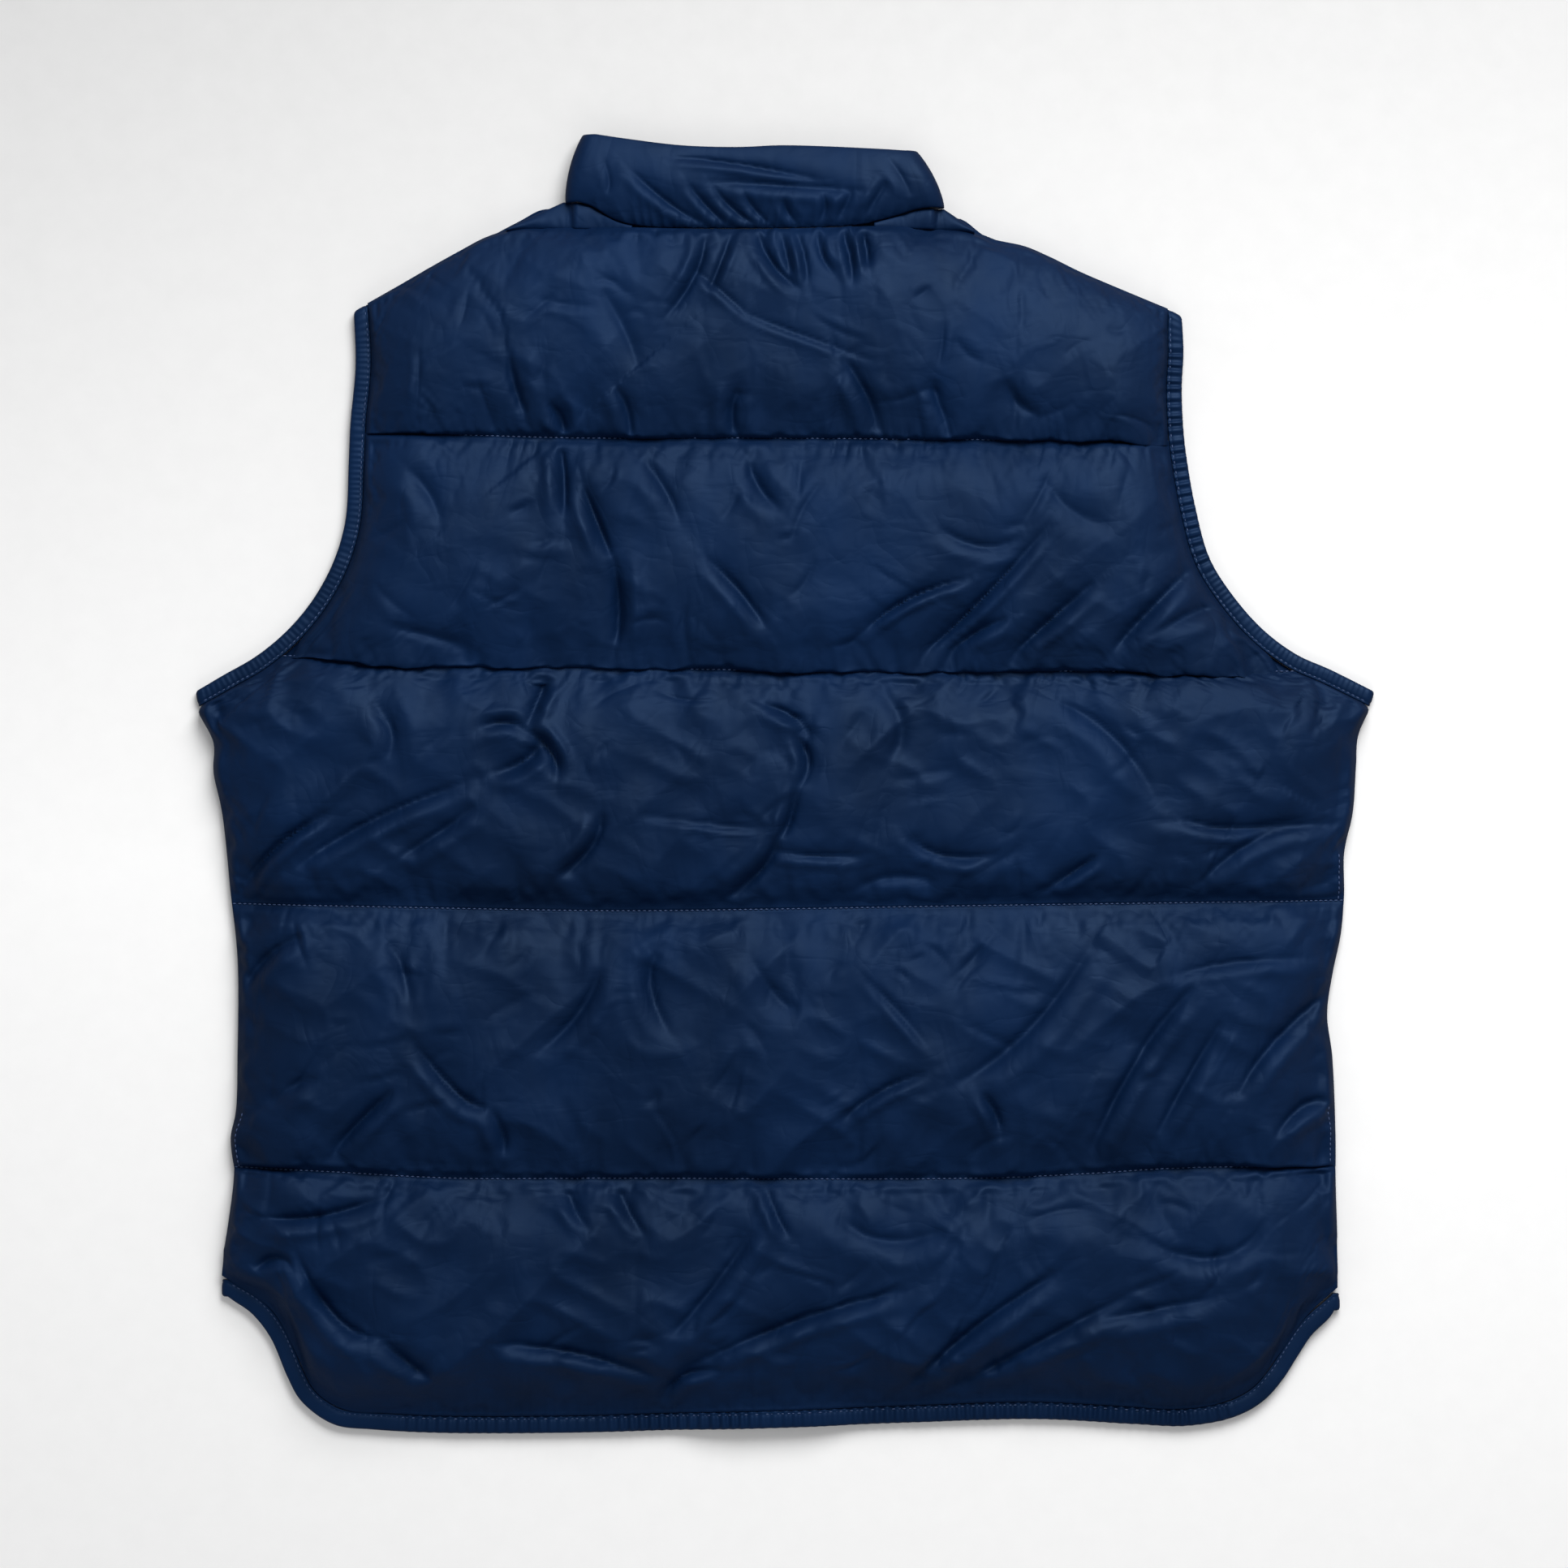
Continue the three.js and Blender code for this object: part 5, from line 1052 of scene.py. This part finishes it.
class VEST_OT_bindings(Operator):
    """Folded strips round the armholes and the hem"""
    bl_idname = "vest.bindings"
    bl_label = "Bindings"

    def execute(self, context):
        colours = context.scene.vest_colours
        material = cloth_finish("navy_nylon_binding", colours.binding, 0.5, 0.5)
        part = np.array([0, 0.04, 0.15, 0.35, 0.6, 0.78, 0.84, 0.9, 0.97, 1.0])
        crown = np.array([-0.9, -0.1, 0.5, 0.7, 0.8, 0.6, 0.3, 0.6, 0.5, 0.3])
        sides = (("left", ARMHOLE_LEFT, 1, None), ("right", ARMHOLE_RIGHT, -1, RUCHING))
        for side, rows, inward, gathers in sides:
            strip = strip_between_folds(rows, inward, SHOULDER_CUT[side], SIDE_CUT[side], 700)
            outer, inner = self.loop(strip, ARMHOLE_WIDTH, part, crown, gathers)
            points, faces = band(outer, inner, closed=True)
            piece = make_mesh("armhole_edge_" + side, points, faces)
            finish_piece(piece, material)
            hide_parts("armhole_binding_" + side)
        points, faces = band(*self.hem(part, crown))
        piece = make_mesh("hem_edge", points, faces)
        finish_piece(piece, material)
        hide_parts("hem_binding")
        return {"FINISHED"}

    def leg(self, edge, across, width, rise, side, part, crown):
        """Top or bottom half of a strip: outer points over a crowned section, inner points flat."""
        level = edge_height(edge[:, 0]) + SEAM_GAP / 2
        spot = edge[:, None] + across[:, None] * (width * part)[None, :, None]
        outer = level[:, None] + side * (SEAM_GAP / 2 + EDGE_WALL + rise[:, None] + crown)
        inner = np.broadcast_to(level[:, None] + side * SEAM_GAP / 2, outer.shape)
        outer, inner = np.maximum(outer, 0), np.maximum(inner, 0)
        return [np.concatenate([spot, z[..., None]], -1) for z in (outer, inner)]

    def turn(self, edge, across, out, width, part, crown, from_back):
        """Fold that joins the top of a strip to its bottom round the end."""
        angle = np.pi * np.linspace(0, 1, 8)[1:-1][:, None]
        angle = angle if from_back else np.pi - angle
        spot = edge + across * (width * part)[:, None]
        both = []
        for reach in (SEAM_GAP / 2 + EDGE_WALL + crown, np.full(len(part), SEAM_GAP / 2)):
            flat = spot[None] + out * (np.sin(angle) * reach)[..., None]
            z = np.maximum(EDGE_WALL + SEAM_GAP / 2 + np.cos(angle) * reach, 0)
            both.append(np.concatenate([flat, z[..., None]], -1))
        return both

    def loop(self, strip, width, part, crown, gathers):
        """Armhole strip: over the back, round the underarm, under the front and round the
        shoulder."""
        edge, across, at = strip
        ripple = (0.2 * line_noise(at, 7, 21)
                  + 0.1 * np.sin(at * 1.9 + 3 * line_noise(at, 16, 22)))
        if gathers:
            start, stop, count, height = gathers
            inside = smooth((at - start) / 10) * smooth((stop - at) / 14)
            wave = np.sin((at - start) * 2 * np.pi * count / (stop - start)
                          + 1.4 * line_noise(at, 11, 23))
            ripple = ripple + inside * height * wave
        top = self.leg(edge, across, width, ripple, 1, part, crown)
        under = self.leg(edge[::-1], across[::-1], width, ripple * 0, -1, part, crown * 0.6)
        far = self.turn(edge[-1], across[-1], unit(edge[-1] - edge[-3]), width, part, crown, True)
        near = self.turn(edge[0], across[0], unit(edge[0] - edge[2]), width, part, crown, False)
        return [np.concatenate([top[k], far[k], under[k], near[k]]) for k in (0, 1)]

    def hem(self, part, crown):
        """Hem strip: gathered by its elastic on the back, plain on the fronts, lapped at the
        centre."""
        edge, across, _ = strip_between_folds(HEM, 1, HEM_CUT, HEM_CUT, 1500)
        x = edge[:, 0]
        start, stop = ELASTIC
        inside = smooth((x - start) / 6) * smooth((stop - x) / 10)
        wave = np.sin((x - start) * 2 * np.pi * RIPPLES / (stop - start)
                      + 1.6 * line_noise(x, 19, 31))
        ripple = (0.25 * line_noise(x, 8, 32)
                  + inside * wave * (0.6 + 0.3 * line_noise(x, 30, 33)))
        back = self.leg(edge, across, HEM_WIDTH, ripple, 1, part, crown)
        left_turn, right_turn = (
            self.turn(edge[end], across[end], np.array([way, 0]), HEM_WIDTH, part, crown, way > 0)
            for end, way in ((0, -1.0), (-1, 1.0)))
        lap_left, lap_right = CENTRE_X - LAP_HALF, CENTRE_X + LAP_HALF
        under, over = x < lap_right, x > lap_left
        left = self.front_leg(edge[under][::-6], across[under][::-6], 0 * part, part)
        lift = np.where(edge[over][::-6, 0] < lap_right + 1.7, LAP_UNDER + SEAM_GAP, 0)
        right = self.front_leg(edge[over][::-6], across[over][::-6], lift[:, None], part)
        legs = left, left_turn, back, right_turn, right
        return [np.concatenate([leg[k] for leg in legs]) for k in (0, 1)]

    def front_leg(self, edge, across, low, part):
        """Plain half of the hem strip under a front."""
        spot = edge[:, None] + across[:, None] * (HEM_WIDTH * part)[None, :, None]
        outer = np.zeros(spot.shape[:2]) + low
        return [np.concatenate([spot, z[..., None]], -1) for z in (outer, outer + EDGE_WALL)]


class VEST_OT_stitches(Operator):
    """Stitches of the quilt lines, the side seams, the armhole strips and the hem strip"""
    bl_idname = "vest.stitches"
    bl_label = "Stitches"

    def execute(self, context):
        sizes, colours = context.scene.vest_sizes, context.scene.vest_colours
        paths = list(SIDE_RUNS)
        for rows in QUILT_LINES:
            start = np.array([x_at(EDGE_LEFT, rows[0][1]), rows[0][1]])
            end = np.array([x_at(EDGE_RIGHT, rows[-1][1]), rows[-1][1]])
            inner = [tuple(p) for p in spline(rows)[::6]]
            run = across_run(inner, start, end, np.linspace(0, 1, 300))
            z = layer_height(run) + SEAM_GAP + EDGE_WALL + 0.35
            paths.append(np.column_stack([run, z]))
        for side, rows, inward in (("left", ARMHOLE_LEFT, 1), ("right", ARMHOLE_RIGHT, -1)):
            run = edge_strip(rows, ARMHOLE_WIDTH * STITCH_LINE, inward, SHOULDER_CUT[side],
                             SIDE_CUT[side], 300)[3]
            level = np.full(len(run), 2 * EDGE_WALL + SEAM_GAP + 0.25)
            paths.append(np.column_stack([run, level])[4:-4])
        run = edge_strip(HEM, HEM_WIDTH * STITCH_LINE, 1, HEM_CUT, HEM_CUT, 500)[3]
        level = edge_height(run[:, 0]) + SEAM_GAP + EDGE_WALL + 0.25
        paths.append(np.column_stack([run, level])[4:-4])
        points, faces = self.row_of_stitches(paths, sizes.stitch / MM)
        piece = make_mesh("stitches", points, faces)
        finish_piece(piece, thread_finish("navy_thread_painted_shade", tuple(colours.thread)))
        return {"FINISHED"}

    def row_of_stitches(self, paths, pitch):
        """Short six-sided spindles laid end to end along each path, a little apart."""
        middles, ways = [], []
        for path in paths:
            total = lengths(path)[-1]
            count = int(total / pitch)
            shares = (np.arange(count) + 0.5) / count
            reach = 0.33 * pitch / total
            a, b = at_shares(path, shares - reach), at_shares(path, shares + reach)
            middles.append((a + b) / 2)
            ways.append((b - a) / 2)
        middle, way = np.vstack(middles), np.vstack(ways)
        side = unit(np.cross(way, (0, 0, 1)))
        rise = unit(np.cross(side, way))
        turn = np.linspace(0, 2 * np.pi, 6, endpoint=False)
        rings = np.array([(-1, 0.15), (0, 0.4), (1, 0.15)])
        ring = (side[:, None, None] * np.cos(turn)[None, None, :, None]
                + rise[:, None, None] * np.sin(turn)[None, None, :, None])
        points = (middle[:, None, None] + way[:, None, None] * rings[None, :, :1, None]
                  + ring * rings[None, :, 1:, None])
        ids = np.arange(points[..., 0].size).reshape(len(middle), 3, 6)
        quads = ring_quads(ids[:, :-1], ids[:, 1:])
        caps = np.vstack([ids[:, 0, ::-1], ids[:, -1]])
        return points.reshape(-1, 3), [quads[:, ::-1], caps[:, ::-1]]


class VEST_OT_studs(Operator):
    """Press studs of the lap"""
    bl_idname = "vest.studs"
    bl_label = "Studs"

    def execute(self, context):
        metal = metal_finish("dark_stud", tuple(context.scene.vest_colours.stud))
        top = LAP_UNDER
        cap = np.array([(0, 0), (5.5, 0), (6.9, 0.15), (7.4, 0.5), (7.5, 1.0), (7.4, 1.5),
                        (7.0, 1.6), (2.5, 1.6), (2.5, top), (0, top)])
        base = top + SEAM_GAP
        socket = np.array([(0, base), (5.6, base), (6, base + 0.4), (6, base + 1.6),
                           (5.6, base + 2), (0, base + 2)])
        for name, profile, node in (("stud_caps", cap, "stud_cap_"),
                                    ("stud_sockets", socket, "stud_socket_")):
            points, faces = self.turned(profile)
            piece = make_mesh(name, points, faces)
            finish_piece(piece, metal)
            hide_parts(*[node + str(k + 1) for k in range(len(STUD_YS))])
        return {"FINISHED"}

    def turned(self, profile):
        """A profile of radius and height turned round Z, once at each stud."""
        sides, count = 32, len(profile) - 2
        turn = np.linspace(0, 2 * np.pi, sides, endpoint=False)
        radius, height = profile[1:-1, :1], profile[1:-1, 1:]
        ring = np.stack([radius * np.cos(turn), radius * np.sin(turn),
                         np.broadcast_to(height, (count, sides))], -1)
        ids = np.arange(count * sides).reshape(count, sides)
        quads = ring_quads(ids[:-1], ids[1:])
        low, high = count * sides, count * sides + 1
        first, last = ids[0], ids[-1]
        ends = np.vstack([
            np.stack([np.full(sides, low), np.roll(first, -1), first], -1),
            np.stack([np.full(sides, high), last, np.roll(last, -1)], -1)])
        one = np.vstack([ring.reshape(-1, 3), (0, 0, profile[0, 1]), (0, 0, profile[-1, 1])])
        shift = np.arange(len(STUD_YS)) * len(one)
        points = np.vstack([one + (CENTRE_X, y, 0) for y in STUD_YS])
        return points, [np.vstack([faces + k for k in shift]) for faces in (quads, ends)]


class VEST_PT_pieces(Panel):
    """Lists the pieces of the vest"""
    bl_label = "Quilted vest"
    bl_space_type = "VIEW_3D"
    bl_region_type = "UI"
    bl_category = "Vest"

    def draw(self, context):
        for group in (context.scene.vest_sizes, context.scene.vest_colours):
            for name in group.__annotations__:
                self.layout.prop(group, name)
        for operator in OPERATORS:
            self.layout.operator(operator.bl_idname)


OPERATORS = (
    VEST_OT_stage, VEST_OT_back, VEST_OT_fronts, VEST_OT_collar, VEST_OT_bindings,
    VEST_OT_stitches, VEST_OT_studs)
CLASSES = (VestSizes, VestColours) + OPERATORS + (VEST_PT_pieces,)


def register():
    for item in CLASSES:
        bpy.utils.register_class(item)
    bpy.types.Scene.vest_sizes = PointerProperty(type=VestSizes)
    bpy.types.Scene.vest_colours = PointerProperty(type=VestColours)


def unregister():
    del bpy.types.Scene.vest_sizes
    del bpy.types.Scene.vest_colours
    for item in reversed(CLASSES):
        bpy.utils.unregister_class(item)


def main():
    register()
    bpy.ops.vest.stage()
    bpy.ops.vest.back()
    bpy.ops.vest.fronts()
    bpy.ops.vest.collar()
    bpy.ops.vest.bindings()
    bpy.ops.vest.stitches()
    bpy.ops.vest.studs()


if __name__ == "__main__":
    main()
